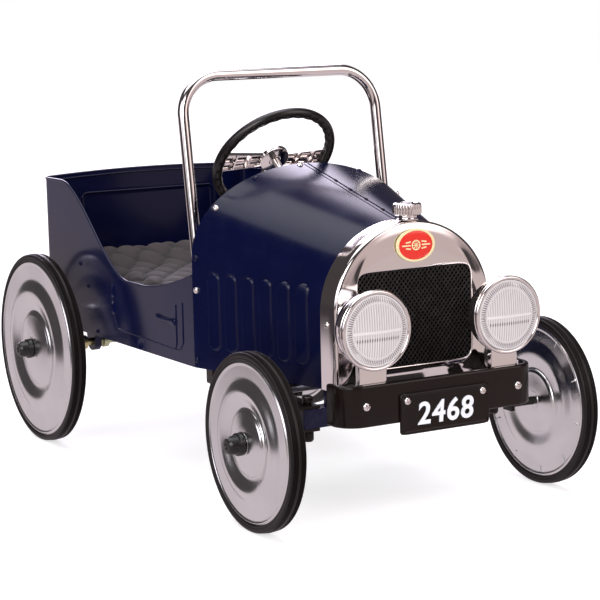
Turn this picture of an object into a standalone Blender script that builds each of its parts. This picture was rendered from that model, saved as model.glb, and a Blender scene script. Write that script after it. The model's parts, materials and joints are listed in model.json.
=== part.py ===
"""A child's pedal car in pressed steel, as separate named pieces.

Metres, +Z up. The car points along -Y and its right side is at -X. Every
place below is measured from the ground under the middle of the front axle,
and centre_car() finally moves the car so that its box stands on the origin.
"""
import math

import bmesh
import bpy
from mathutils import Matrix, Vector

# Running gear
FRONT_R = 0.102
REAR_R = 0.1275
WHEELBASE = 0.5843
FRONT_FACE_X = 0.2072
REAR_FACE_X = 0.2124
TYRE_WIDTH = 0.0188
FRONT_DISC_R = 0.0924
REAR_DISC_R = 0.1193
WHEEL_STEPS = 40
DISC_STEPS = 24
SHEET = 0.0015
GAP = 0.0004

# Body
TUB_HALF = 0.160
SEAM_Y = 0.2130
TUB_END_Y = 0.658
TUB_CORNER = 0.012
SKIRT_Z = 0.150
SIDE_LOW_Z = 0.234
SIDE_FRONT_RISE = 0.028
SIDE_REAR_RISE = 0.117
BACK_CROWN = 0.005
NOSE_HALF = 0.104
NOSE_Y = 0.0058
NOSE_SPRING_Z = 0.2365
NOSE_RISE = 0.0985
REAR_SPRING_Z = 0.2850
REAR_RISE = 0.1030
LOUVRES = 6
LOUVRE_FIRST_Y = 0.036
LOUVRE_PITCH = 0.0281
LOUVRE_WIDTH = 0.017
LOUVRE_Z = (0.175, 0.268)
LOUVRE_PROUD = 0.003
SEAT_Z = 0.180

# Radiator
SHELL_HALF = 0.106
SHELL_SPRING_Z = 0.2365
SHELL_RISE = 0.100
SHELL_BACK_Y = 0.005
SHELL_FACE_Y = -0.030
GRILLE_HALF = 0.078
GRILLE_Z = (0.171, 0.284)
GRILLE_CORNER = 0.012
CAP_Y = -0.0150

# Lamps, bumper and plate
LAMP_X = 0.0887
LAMP_Z = 0.2275
LAMP_R = 0.0435
LAMP_FRONT_Y = -0.086
LENS_CROWN = 0.004
BUMPER_Y = -0.085
BUMPER_Z = (0.1205, 0.1675)
BUMPER_HALF = 0.1035
BUMPER_CORNER = 0.028
PLATE_HALF = 0.060
PLATE_Z = (0.1065, 0.1535)

# Windscreen frame
SCREEN_R = 0.0069
SCREEN_HALF = 0.138
SCREEN_TOP = (0.2735, 0.4975)
SCREEN_RAKE = 0.145
SCREEN_FOOT_Z = 0.212
SCREEN_CORNER = 0.050

# Steering
COLUMN_TILT = math.radians(40)
WHEEL_CENTRE = (0.290, 0.389)
STEER_R = 0.084
STEER_SECTION = 0.0065
COLUMN_R = 0.005
COLUMN_LENGTH = 0.3329
DROP_ARM = 0.045
KINGPIN_X = 0.128
TIE_Y = 0.0639
TIE_Z = (0.1385, 0.1425)
BEAM_Z = (0.110, 0.132)
BEAM_HALF_Y = 0.011
BEAM_END_X = 0.139

# Pedal drive
AXLE_R = 0.005
CRANK = 0.030
CRANK_X = 0.055
CRANK_HALF = 0.0095
PEDAL_Y = 0.165
PEDAL_PIVOT_Z = 0.262
ARM_PIN = 0.122
PEDAL_DROP = 0.140
PEDAL_SWING = math.asin(CRANK / ARM_PIN)
PEDAL_ROD_R = 0.004
PIN_R = 0.0035
HANGER_X = 0.125

NAVY = ((0.012, 0.017, 0.085), 0.22, 0.35)
CHROME = ((0.86, 0.86, 0.88), 0.06, 1.0)
BLACK_PAINT = ((0.012, 0.011, 0.011), 0.25, 0.0)
STEEL = ((0.52, 0.53, 0.54), 0.28, 1.0)
ZINC = ((0.62, 0.56, 0.34), 0.35, 1.0)
RUBBER = ((0.022, 0.020, 0.020), 0.55, 0.0)
BLACK_PLASTIC = ((0.015, 0.014, 0.014), 0.40, 0.0)
GREY_CLOTH = ((0.17, 0.15, 0.15), 0.85, 0.0)
RED_ENAMEL = ((0.80, 0.03, 0.01), 0.25, 0.0)
LENS_CLEAR = ((0.92, 0.92, 0.94), 0.08, 0.0)


def clear_scene():
    for obj in list(bpy.data.objects):
        bpy.data.objects.remove(obj, do_unlink=True)


def collection(name):
    made = bpy.data.collections.new(name)
    bpy.context.scene.collection.children.link(made)
    return made


def finish(obj, look):
    """Gives the object its own material and shades its round faces smooth."""
    colour, roughness, metallic = look
    paint = bpy.data.materials.new(obj.name)
    paint.use_nodes = True
    shader = paint.node_tree.nodes["Principled BSDF"]
    shader.inputs["Base Color"].default_value = (*colour, 1)
    shader.inputs["Roughness"].default_value = roughness
    shader.inputs["Metallic"].default_value = metallic
    obj.data.materials.append(paint)
    if obj.type == "MESH":
        obj.data.shade_smooth()
        obj.data.set_sharp_from_angle(angle=math.radians(40))
    return obj


def add(name, data, look, at=(0, 0, 0), turn=None):
    obj = bpy.data.objects.new(name, data)
    CAR.objects.link(obj)
    obj.location = at
    if turn is not None:
        obj.rotation_euler = turn.to_euler()
    return finish(obj, look)


def mesh_from(bm, name):
    data = bpy.data.meshes.new(name)
    bmesh.ops.recalc_face_normals(bm, faces=bm.faces)
    bm.to_mesh(data)
    bm.free()
    return data


def block(name, low, high, look, bevel=0.0, segments=1, at=(0, 0, 0)):
    """A box between two corners, given from the object's own place."""
    bm = bmesh.new()
    bmesh.ops.create_cube(bm, size=1)
    size = [h - l for l, h in zip(low, high)]
    middle = [(l + h) / 2 for l, h in zip(low, high)]
    bmesh.ops.scale(bm, vec=size, verts=bm.verts)
    bmesh.ops.translate(bm, vec=middle, verts=bm.verts)
    obj = add(name, mesh_from(bm, name), look, at)
    if bevel:
        rounding = obj.modifiers.new("edges", "BEVEL")
        rounding.width = bevel
        rounding.segments = segments
    return obj


def sheet(name, rows, look, closed=False, wall=SHEET, inward=-1):
    """A surface through rows of points, given a wall by Solidify.

    inward is the side of the surface on which the wall grows.
    """
    bm = bmesh.new()
    grid = [[bm.verts.new(point) for point in row] for row in rows]
    for low, high in zip(grid, grid[1:]):
        pairs = list(zip(low, high))
        if closed:
            pairs.append(pairs[0])
        for (a, b), (d, c) in zip(pairs, pairs[1:]):
            bm.faces.new((a, d, c, b))
    data = bpy.data.meshes.new(name)
    bm.to_mesh(data)
    bm.free()
    obj = add(name, data, look)
    skin = obj.modifiers.new("wall", "SOLIDIFY")
    skin.thickness = wall
    skin.offset = inward
    skin.use_even_offset = True
    return obj


def axis_turn(direction, roll=0.0):
    """The turn that lays local Z along a direction, with local X rolled about it."""
    axis = Vector(direction).normalized()
    down = Vector((0, 0, -1)) if abs(axis.z) < 0.9 else Vector((1, 0, 0))
    side = (down - axis * down.dot(axis)).normalized()
    x = side * math.cos(roll) + axis.cross(side) * math.sin(roll)
    return Matrix((x, axis.cross(x), axis)).transposed()


def turned(name, profile, look, at, direction=(0, 0, 1), steps=24, ring=False, roll=0.0):
    """A turned piece: (radius, height) points run down its outer side.

    A ring's profile closes on itself; any other starts and ends on the axis.
    """
    bm = bmesh.new()
    points = [bm.verts.new((radius, 0, height)) for radius, height in profile]
    ends = points + points[:1] if ring else points
    for a, b in zip(ends, ends[1:]):
        bm.edges.new((a, b))
    data = bpy.data.meshes.new(name)
    bm.to_mesh(data)
    bm.free()
    obj = add(name, data, look, at, axis_turn(direction, roll))
    lathe = obj.modifiers.new("lathe", "SCREW")
    lathe.steps = steps
    lathe.render_steps = steps
    lathe.use_merge_vertices = True
    lathe.merge_threshold = 0.00005
    lathe.use_smooth_shade = True
    return obj


FLAT_TURN = {
    "X": Matrix(((0, 0, 1), (1, 0, 0), (0, 1, 0))),
    "Y": Matrix(((1, 0, 0), (0, 0, -1), (0, 1, 0))),
    "Z": Matrix.Identity(3),
}


def flat(name, outlines, thickness, look, at, normal="Z"):
    """A plate from an outline and its holes, with its middle plane through at.

    Outline points are (Y, Z) for normal X, (X, Z) for Y and (X, Y) for Z.
    """
    data = bpy.data.curves.new(name, "CURVE")
    data.dimensions = "2D"
    data.fill_mode = "BOTH"
    data.extrude = thickness / 2
    for outline in outlines:
        spline = data.splines.new("POLY")
        spline.points.add(len(outline) - 1)
        for point, (u, v) in zip(spline.points, outline):
            point.co = (u, v, 0, 1)
        spline.use_cyclic_u = True
    return add(name, data, look, at, FLAT_TURN[normal])


def tube(name, points, radius, look, at=(0, 0, 0), resolution=2):
    """A rod or tube along points, with its ends capped."""
    data = bpy.data.curves.new(name, "CURVE")
    data.dimensions = "3D"
    data.bevel_depth = radius
    data.bevel_resolution = resolution
    data.use_fill_caps = True
    spline = data.splines.new("POLY")
    spline.points.add(len(points) - 1)
    for point, place in zip(spline.points, points):
        point.co = (*place, 1)
    return add(name, data, look, at)


def circle(radius, count=16, centre=(0, 0), start=0.0):
    """Corners of a polygon whose flats touch the circle."""
    reach = radius / math.cos(math.pi / count)
    angles = [start + math.tau * i / count for i in range(count)]
    return [(centre[0] + reach * math.cos(a), centre[1] + reach * math.sin(a)) for a in angles]


def arc(centre, radius, start, end, count):
    angles = [start + (end - start) * i / count for i in range(count + 1)]
    return [(centre[0] + radius * math.cos(a), centre[1] + radius * math.sin(a)) for a in angles]


def rounded_box(low, high, corner, count=4):
    """Outline of a rectangle with round corners, counter-clockwise."""
    quarter = math.pi / 2
    places = ((high[0], low[1], 3), (high[0], high[1], 0), (low[0], high[1], 1), (low[0], low[1], 2))
    points = []
    for x, y, turn in places:
        cx = x - corner if x == high[0] else x + corner
        cy = y - corner if y == high[1] else y + corner
        points += arc((cx, cy), corner, turn * quarter, (turn + 1) * quarter, count)
    return points


def link_bar(start, end, half, round_count=6):
    """A bar with round ends about two pivots."""
    angle = math.atan2(end[1] - start[1], end[0] - start[0])
    quarter = math.pi / 2
    return (arc(end, half, angle - quarter, angle + quarter, round_count)
            + arc(start, half, angle + quarter, angle + 3 * quarter, round_count))


def as_mesh(obj):
    """Replaces a curve object by its mesh, so that it can take a Boolean."""
    graph = bpy.context.evaluated_depsgraph_get()
    data = bpy.data.meshes.new_from_object(obj.evaluated_get(graph), depsgraph=graph)
    bm = bmesh.new()
    bm.from_mesh(data)
    bmesh.ops.remove_doubles(bm, verts=bm.verts, dist=0.00002)
    bmesh.ops.recalc_face_normals(bm, faces=bm.faces)
    bm.to_mesh(data)
    bm.free()
    name, place = obj.name, obj.matrix_world.copy()
    bpy.data.objects.remove(obj, do_unlink=True)
    made = bpy.data.objects.new(name, data)
    made.matrix_world = place
    CAR.objects.link(made)
    return made


def helper(obj):
    """Turns an object into one that only cuts or joins another."""
    for owner in list(obj.users_collection):
        owner.objects.unlink(obj)
    CUTTERS.objects.link(obj)
    obj.hide_render = True
    obj.display_type = "WIRE"
    return obj


def combine(obj, other, operation):
    step = obj.modifiers.new(operation.lower(), "BOOLEAN")
    step.object = helper(other)
    step.operation = operation
    step.solver = "EXACT"
    return obj


def side_top(y):
    """Height of the tub's side: a low sweep that rises to the cowl and to the back."""
    ahead = max(0.0, (0.350 - y) / 0.1365)
    back = min(1.0, max(0.0, (y - 0.395) / 0.205))
    smooth = back * back * (3 - 2 * back)
    return SIDE_LOW_Z + SIDE_FRONT_RISE * ahead ** 1.6 + SIDE_REAR_RISE * smooth


def make_tub():
    """The rear body: one sheet round both sides and the back."""
    count = 20
    side = [SEAM_Y + 0.0005 + (TUB_END_Y - TUB_CORNER - SEAM_Y - 0.0005) * i / count
            for i in range(count + 1)]
    middle = (TUB_HALF - TUB_CORNER, TUB_END_Y - TUB_CORNER)
    left = [(TUB_HALF, y) for y in side] + arc(middle, TUB_CORNER, 0, math.pi / 2, 4)[1:]
    left += [(middle[0] * (1 - i / 3), TUB_END_Y) for i in (1, 2, 3)]
    path = left + [(-x, y) for x, y in reversed(left[:-1])]
    rows = []
    for share in (0.0, 0.5, 1.0):
        row = []
        for x, y in path:
            top = side_top(y)
            if y > middle[1]:
                top += BACK_CROWN * (1 - (x / TUB_HALF) ** 2)
            row.append((x, y, SKIRT_Z + (top - SKIRT_Z) * share))
        rows.append(row)
    sheet("tub", rows, NAVY)


def cowl_section(y):
    """Half width, springing height and rise of the cowl at a station."""
    share = (y - NOSE_Y) / (SEAM_Y - NOSE_Y)
    half = NOSE_HALF + (TUB_HALF - NOSE_HALF) * share
    spring = NOSE_SPRING_Z + (REAR_SPRING_Z - NOSE_SPRING_Z) * share
    rise = NOSE_RISE + (REAR_RISE - NOSE_RISE) * share
    return half, spring, rise


def make_cowl():
    """The bonnet: an arch over straight sides that carry pressed louvres."""
    stations = [NOSE_Y]
    for index in range(LOUVRES):
        middle = LOUVRE_FIRST_Y + LOUVRE_PITCH * index
        stations += [middle - LOUVRE_WIDTH / 2, middle + LOUVRE_WIDTH / 2 - 0.0035,
                     middle + LOUVRE_WIDTH / 2]
    stations.append(SEAM_Y)
    low, high = LOUVRE_Z
    levels = (SKIRT_Z, low, low + 0.006, high - 0.006, high)
    arch = 16
    rows = []
    for index, y in enumerate(stations):
        half, spring, rise = cowl_section(y)
        crest = 0 < index < len(stations) - 1 and index % 3 == 2
        left = []
        for level, z in enumerate(levels):
            proud = LOUVRE_PROUD if crest and level in (2, 3) else 0.0
            left.append((half + proud, y, min(z, spring)))
        left = [point for point in left if point[2] < spring - 0.001]
        while len(left) < len(levels):
            left.append((half, y, spring - 0.001 * (len(levels) - len(left))))
        over = [(half * math.cos(a), y, spring + rise * math.sin(a))
                for a in (math.pi * i / arch for i in range(arch + 1))]
        right = [(-x, y, z) for x, y, z in reversed(left)]
        rows.append(left + over + right)
    sheet("cowl", rows, NAVY, inward=1)


def make_hinge_strip():
    """The folded seam along the crown of the cowl."""
    def crown(y):
        _, spring, rise = cowl_section(y)
        return spring + rise

    start, end = NOSE_Y + 0.004, SEAM_Y - 0.004
    lift = 0.0004
    outline = [(start, crown(start) + lift), (end, crown(end) + lift),
               (end, crown(end) + lift + 0.0016), (start, crown(start) + lift + 0.0016)]
    flat("hinge_strip", [outline], 0.008, NAVY, (0, 0, 0), "X")


def shell_ring(inset, y, count=48):
    """The radiator's arched outline, drawn in by an inset, at one depth."""
    half, base = SHELL_HALF - inset, SKIRT_Z + inset
    rise = SHELL_RISE - inset
    arch = [(half * math.cos(a), y, SHELL_SPRING_Z + rise * math.sin(a))
            for a in (math.pi * i / (count // 2) for i in range(count // 2 + 1))]
    side = count // 8
    drop = SHELL_SPRING_Z - base
    left = [(-half, y, SHELL_SPRING_Z - drop * i / side) for i in range(1, side + 1)]
    across = count // 4 - 1
    floor = [(-half + 2 * half * i / (across + 1), y, base) for i in range(1, across + 1)]
    right = [(half, y, base + drop * i / side) for i in range(side)]
    return arch + left + floor + right


def grille_ring(ring, y):
    """Moves each point of a ring straight to the grille opening's round-cornered edge."""
    low, high = GRILLE_Z
    middle = (low + high) / 2
    tall = (high - low) / 2
    points = []
    for x, _, z in ring:
        u, v = x / SHELL_HALF, (z - middle) / 0.110
        reach = (abs(u) ** 12 + abs(v) ** 12) ** (1 / 12)
        points.append((GRILLE_HALF * u / reach, y, middle + tall * v / reach))
    return points


def make_radiator():
    """The chrome shell with its crowned face, the grille panel, badge and filler cap."""
    outline = ((0, SHELL_BACK_Y), (0, -0.0210), (0.0012, -0.0228), (0.0045, -0.0262), (0.010, -0.0288))
    rings = [shell_ring(inset, y) for inset, y in outline]
    rings.append(grille_ring(shell_ring(0.010, 0), SHELL_FACE_Y))
    sheet("radiator_shell", rings, CHROME, closed=True)
    low, high = GRILLE_Z
    reach = 0.003
    panel = rounded_box((-GRILLE_HALF - reach, low - reach), (GRILLE_HALF + reach, high + reach),
                        GRILLE_CORNER)
    flat("radiator_grille", [panel], 0.0012, BLACK_PLASTIC, (0, SHELL_FACE_Y + 0.0034, 0), "Y")
    oval = [(0.0262 * math.cos(a), 0.0190 * math.sin(a)) for a in (math.tau * i / 32 for i in range(32))]
    flat("badge", [oval], 0.0012, RED_ENAMEL, (0, SHELL_FACE_Y - 0.0011, 0.3095), "Y")
    top = SHELL_SPRING_Z + SHELL_RISE + GAP
    cap = ((0, 0.0205), (0.0150, 0.0200), (0.0168, 0.0182), (0.0168, 0.0070), (0.0150, 0.0057),
           (0.0110, 0.0052), (0.0110, 0.0015), (0.0125, 0.0), (0, 0))
    turned("filler_cap", cap, CHROME, (0, CAP_Y, top), steps=24)


def make_lamp(side, x):
    """One headlamp: a hollow cup, its rim, the lens and the foot that carries it."""
    radius = LAMP_R
    forward = (0, -1, 0)
    place = (x, LAMP_FRONT_Y, LAMP_Z)
    back = 0.044
    cup = [(radius * math.cos(a), -0.008 - (back - 0.008) * math.sin(a))
           for a in (math.pi / 2 * i / 4 for i in range(5))]
    cup[-1] = (0, -back)
    inner = [(max(0, r - SHEET), min(h + SHEET, -0.0035)) for r, h in reversed(cup)]
    profile = [(radius, -0.0035)] + cup + inner + [(radius - SHEET, -0.0035)]
    turned("headlamp_cup_" + side, profile, CHROME, place, forward, 22, ring=True)
    rim = [(radius + 0.001, 0.0015), (radius + 0.0015, -0.0005), (radius + 0.0015, -0.0030),
           (radius - 0.0030, -0.0030), (radius - 0.0030, 0.0015)]
    turned("headlamp_rim_" + side, rim, CHROME, place, forward, 22, ring=True)
    edge = radius - 0.0030 - GAP
    lens = [(0, LENS_CROWN), (edge * 0.55, 0.0030), (edge * 0.85, 0.0015), (edge, 0.0),
            (edge, -0.0025), (0, -0.0025)]
    turned("headlamp_lens_" + side, lens, LENS_CLEAR, place, forward, 22)
    outline = [(-0.0215, 0.138), (0.0215, 0.138), (0.0210, 0.166), (0.0180, 0.1835), (-0.0180, 0.1835),
               (-0.0210, 0.166)]
    flat("headlamp_foot_" + side, [outline], 0.010, CHROME, (x, -0.0735, 0), "Y")


def make_bumper():
    """The bumper is a channel bent back at both ends; the number plate hangs on it."""
    quarter = math.pi / 2
    corner = arc((BUMPER_HALF, BUMPER_Y + BUMPER_CORNER), BUMPER_CORNER, -quarter, 0, 6)
    left = [(0, BUMPER_Y)] + corner + [(BUMPER_HALF + BUMPER_CORNER, -0.048)]
    path = [(-x, y) for x, y in reversed(left[1:])] + left
    low, high = BUMPER_Z
    depth = 0.0055
    rows = []
    for z, inset in ((low, depth), (low, 0), (high, 0), (high, depth)):
        row = []
        for x, y in path:
            swing = min(1.0, max(-1.0, (abs(x) - BUMPER_HALF) / BUMPER_CORNER))
            turn = math.asin(max(0.0, swing))
            away = -math.copysign(math.sin(turn), x) * inset if x else 0.0
            row.append((x + away, y + math.cos(turn) * inset, z))
        rows.append(row)
    sheet("bumper", rows, BLACK_PAINT, wall=0.0012)
    for side, x in SIDES:
        tab, deck = -0.0790, BEAM_Z[1] + GAP
        outline = [(-0.0825, deck), (0.010, deck), (0.010, deck + 0.004), (tab, deck + 0.004),
                   (tab, 0.157), (-0.0825, 0.157)]
        flat("bumper_bracket_" + side, [outline], 0.018, BLACK_PAINT, (x * 0.081, 0, 0), "X")
    block("number_plate", (-PLATE_HALF, BUMPER_Y - 0.0030, PLATE_Z[0]),
          (PLATE_HALF, BUMPER_Y - 0.0004, PLATE_Z[1]), BLACK_PAINT, 0.001)


def make_screen():
    """The raked windscreen hoop, whose legs stand inside the tub."""
    top_y, top_z = SCREEN_TOP
    quarter = math.pi / 2
    corner = arc((SCREEN_HALF - SCREEN_CORNER, top_z - SCREEN_CORNER), SCREEN_CORNER, 0, quarter, 8)
    left = [(SCREEN_HALF, SCREEN_FOOT_Z), (SCREEN_HALF, 0.330)] + corner
    hoop = left + [(-x, z) for x, z in reversed(left)]
    points = [(x, top_y - (top_z - z) * SCREEN_RAKE, z) for x, z in hoop]
    tube("windscreen_frame", points, SCREEN_R, CHROME, resolution=3)


def steer_frame():
    """The turn that lays local Z up the column and local X across the car."""
    axis = Vector((0, math.cos(COLUMN_TILT), math.sin(COLUMN_TILT)))
    across = Vector((1, 0, 0))
    return Matrix((across, axis.cross(across), axis)).transposed()


def make_steering():
    """Wheel, spokes and the column whose lower end is bent into the drop arm."""
    turn = steer_frame()
    hub = Vector((0, *WHEEL_CENTRE))
    major = STEER_R - STEER_SECTION
    section = circle(STEER_SECTION, 8, (major, 0))
    rim = turned("steering_rim", [(r, h) for r, h in reversed(section)], BLACK_PLASTIC, hub,
                 turn.col[2], 32, ring=True)
    rim.rotation_euler = turn.to_euler()
    reach = major - STEER_SECTION - 0.0012
    spokes = []
    for centre in (0, 90, 180):
        wide, narrow = math.asin(0.012 / reach), 0.0075
        middle = math.radians(centre)
        spokes.append([
            (reach * math.cos(middle - wide), reach * math.sin(middle - wide)),
            (reach * math.cos(middle + wide), reach * math.sin(middle + wide)),
            (0.017 * math.cos(middle) - narrow * math.sin(middle),
             0.017 * math.sin(middle) + narrow * math.cos(middle))])
        spokes[-1].append((0.017 * math.cos(middle) + narrow * math.sin(middle),
                           0.017 * math.sin(middle) - narrow * math.cos(middle)))
    right, low, left = spokes
    outline = [right[3], right[0], right[1], right[2], low[3], low[0], low[1], low[2],
               left[3], left[0], left[1], left[2]]
    star = flat("steering_spokes", [outline], 0.006, CHROME, hub)
    star.rotation_euler = turn.to_euler()
    start = hub - turn.col[2] * (0.003 + GAP)
    bend = hub - turn.col[2] * COLUMN_LENGTH
    tip = bend + Vector((0, math.sin(COLUMN_TILT), -math.cos(COLUMN_TILT))) * (DROP_ARM + 0.012)
    soft = 0.008
    column = [start - hub, bend + turn.col[2] * soft - hub,
              bend + (turn.col[2] + (tip - bend).normalized()) * soft * 0.3 - hub,
              bend + (tip - bend).normalized() * soft - hub, tip - hub]
    tube("steering_column", column, COLUMN_R, STEEL, hub)


def make_column_mounts():
    """The cross members that the column turns in, low behind the axle and high at the dash."""
    lower_y = 0.090
    lower_z = WHEEL_CENTRE[1] - (WHEEL_CENTRE[0] - lower_y) * math.tan(COLUMN_TILT)
    hole = circle(0.0088, 16, (0, lower_z))
    outline = [(-0.1115, 0.153), (0.1115, 0.153), (0.1115, 0.168), (0.026, 0.168), (0.015, lower_z + 0.014),
               (-0.015, lower_z + 0.014), (-0.026, 0.168), (-0.1115, 0.168)]
    flat("column_crossmember", [outline, hole], 0.003, NAVY, (0, lower_y, 0), "Y")
    upper_y = 0.2055
    upper_z = WHEEL_CENTRE[1] - (WHEEL_CENTRE[0] - upper_y) * math.tan(COLUMN_TILT)
    hole = circle(0.0088, 16, (0, upper_z))
    outline = [(-0.1420, 0.302), (0.1420, 0.302), (0.1380, 0.328), (0.020, upper_z + 0.015),
               (-0.020, upper_z + 0.015), (-0.1380, 0.328)]
    flat("dash_bracket", [outline, hole], 0.003, NAVY, (0, upper_y, 0), "Y")


def make_front_axle():
    """The beam with its two posts, the kingpins, the steered knuckles and the tie rod."""
    low, high = BEAM_Z
    beam = block("front_beam", (-BEAM_END_X, -BEAM_HALF_Y, low), (BEAM_END_X, BEAM_HALF_Y, high), NAVY)
    for side, x in SIDES:
        post = block("post_" + side, (min(x * 0.0905, x * 0.1005), 0.0062, high - 0.004),
                     (max(x * 0.0905, x * 0.1005), BEAM_HALF_Y - 0.0005, 0.1516), NAVY)
        combine(beam, post, "UNION")
        bore = tube("bore_" + side, [(x * KINGPIN_X, 0, low - 0.01), (x * KINGPIN_X, 0, high + 0.01)],
                    0.0045, NAVY)
        combine(beam, as_mesh(bore), "DIFFERENCE")
        pin = ((0, 0.146), (0.0045, 0.146), (0.0065, 0.1445), (0.0065, 0.1385), (0.004, 0.1385),
               (0.004, 0.1045), (0.0065, 0.1045), (0.0065, 0.0960), (0.0050, 0.0935), (0, 0.0935))
        turned("kingpin_" + side, pin, BLACK_PAINT, (x * KINGPIN_X, 0, 0), steps=12)
        make_knuckle(side, x)
    top, bottom = TIE_Z[1], TIE_Z[0]
    half = 0.007
    pad = [(-KINGPIN_X - half, -half), (-0.034, -half), (-0.015, -0.014), (0.015, -0.014), (0.034, -half),
           (KINGPIN_X + half, -half), (KINGPIN_X + half, half), (0.036, half), (0.020, 0.023),
           (-0.020, 0.023), (-0.036, half), (-KINGPIN_X - half, half)]
    swung = [(0, -0.0095), (0.0068, -0.0080), (0.0098, -0.0030), (0.0108, 0.0030), (0.0140, 0.0080),
             (0.0140, 0.0135), (0.0105, 0.0172), (0.0040, 0.0180)]
    slot = swung + [(-u, v) for u, v in swung[:0:-1]]
    holes = [slot] + [circle(0.0040, 12, (x * KINGPIN_X, 0)) for _, x in SIDES]
    shift = [(u + KINGPIN_X, v) for u, v in pad]
    holes = [[(u + KINGPIN_X, v) for u, v in hole] for hole in holes]
    flat("tie_rod", [shift] + holes, top - bottom, STEEL, (-KINGPIN_X, TIE_Y, (top + bottom) / 2))


def make_knuckle(side, x):
    """A yoke round the beam's end with the wheel spindle and the steering arm."""
    low, high = BEAM_Z
    hole = circle(0.0045, 12)
    arm = [(u * x, v) for u, v in (
        (-0.010, -0.010), (0.022, -0.010), (0.0265, -0.006), (0.0265, 0.006), (0.022, 0.010), (0.008, 0.012),
        (0.007, TIE_Y), (0.004, TIE_Y + 0.007), (-0.004, TIE_Y + 0.007), (-0.007, TIE_Y), (-0.010, 0.010))]
    thick = 0.0035
    centre = (x * KINGPIN_X, 0, high + GAP + thick / 2)
    yoke = as_mesh(flat("knuckle_" + side, [arm, hole], thick, BLACK_PAINT, centre))
    under = [(u * x, v) for u, v in (
        (-0.010, -0.010), (0.022, -0.010), (0.0265, -0.006), (0.0265, 0.006), (0.022, 0.010), (-0.010, 0.010))]
    foot = as_mesh(flat("yoke_foot_" + side, [under, hole], thick, BLACK_PAINT,
                        (x * KINGPIN_X, 0, low - GAP - thick / 2)))
    web = block("yoke_web_" + side, (min(x * 0.0212, x * 0.0262), -0.0085, 0.0945),
                (max(x * 0.0212, x * 0.0262), 0.0085, high + GAP + thick * 0.7), BLACK_PAINT,
                at=(x * KINGPIN_X, 0, 0))
    spindle = as_mesh(tube("spindle_" + side, [(x * 0.148, 0, FRONT_R), (x * 0.2135, 0, FRONT_R)],
                           AXLE_R, STEEL))
    stud = as_mesh(tube("arm_stud_" + side, [(x * KINGPIN_X, TIE_Y, high + 0.002),
                                             (x * KINGPIN_X, TIE_Y, TIE_Z[1] + 0.005)], 0.0035, STEEL))
    for piece in (foot, web, spindle, stud):
        combine(yoke, piece, "UNION")


DISC_RELIEF = ((1.0, -0.001), (0.80, -0.001), (0.64, 0.004), (0.56, 0.0035), (0.42, -0.001),
               (0.26, 0.0042), (0.15, 0.0068))


def make_wheel(place, x, radius, disc_r, face_x, axle_y):
    """A pressed disc on a hub barrel, a ribbed solid tyre and a stepped hub cap."""
    outward = (x, 0, 0)
    middle = (x * (face_x - TYRE_WIDTH / 2), axle_y, radius)
    face = TYRE_WIDTH / 2
    outer = [(share * disc_r - (GAP if share == 1.0 else 0), face + lift) for share, lift in DISC_RELIEF]
    bore, barrel = AXLE_R + 0.0004, 0.0125
    nose = face + 0.0072
    inner = [(r, h - 0.0018) for r, h in outer[:-1]]
    profile = [(bore, nose), (barrel - 0.001, nose)] + outer[::-1] + inner
    profile += [(barrel, nose - 0.0035), (barrel, -0.013), (bore, -0.013)]
    turned("wheel_disc_" + place, profile, STEEL, middle, outward, DISC_STEPS, ring=True)
    grow = 1 / math.cos(math.pi / WHEEL_STEPS)
    tread = radius * grow
    shoulder = (radius - 0.004) * grow
    side = (disc_r + 0.0004) * grow
    half = TYRE_WIDTH / 2
    tyre = [(side, half - 0.0008), (shoulder, half), (tread, half - 0.0040),
            (tread, 0.0040 - half), (shoulder, -half), (side, 0.0008 - half)]
    turned("tyre_" + place, tyre, RUBBER, middle, outward, WHEEL_STEPS, ring=True,
           roll=math.pi / WHEEL_STEPS)
    base = face + 0.0072 + GAP
    cap = [(0, base + 0.0185), (0.0080, base + 0.0185), (0.0100, base + 0.0165), (0.0108, base + 0.0060),
           (0.0130, base + 0.0055), (0.0130, base + 0.0015), (0.0118, base), (0, base)]
    turned("hub_cap_" + place, cap, BLACK_PLASTIC, middle, outward, 20)


def make_rear_axle():
    """The axle, bent into two opposed cranks, with its hangers under the seat pan."""
    inner, outer = CRANK_X - CRANK_HALF, CRANK_X + CRANK_HALF
    left = [(inner, 0, 0), (inner, CRANK, 0), (outer, CRANK, 0), (outer, 0, 0)]
    right = [(-x, -y, 0) for x, y, _ in reversed(left)]
    end = REAR_FACE_X - GAP
    points = [(-end, 0, 0)] + right + left + [(end, 0, 0)]
    tube("rear_axle", points, AXLE_R, ZINC, (0, WHEELBASE, REAR_R))
    top = SEAT_Z - REAR_R - GAP
    for side, x in SIDES:
        hole = circle(AXLE_R + GAP, 16)
        outline = [(-0.020, top), (-0.020, top - 0.006), (-0.012, -0.006)]
        outline += arc((0, 0), 0.0125, math.pi * 1.15, math.pi * 1.85, 6)
        outline += [(0.012, -0.006), (0.020, top - 0.006), (0.020, top)]
        flat("rear_hanger_" + side, [outline, hole], 0.010, NAVY, (x * HANGER_X, WHEELBASE, REAR_R), "X")


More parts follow.
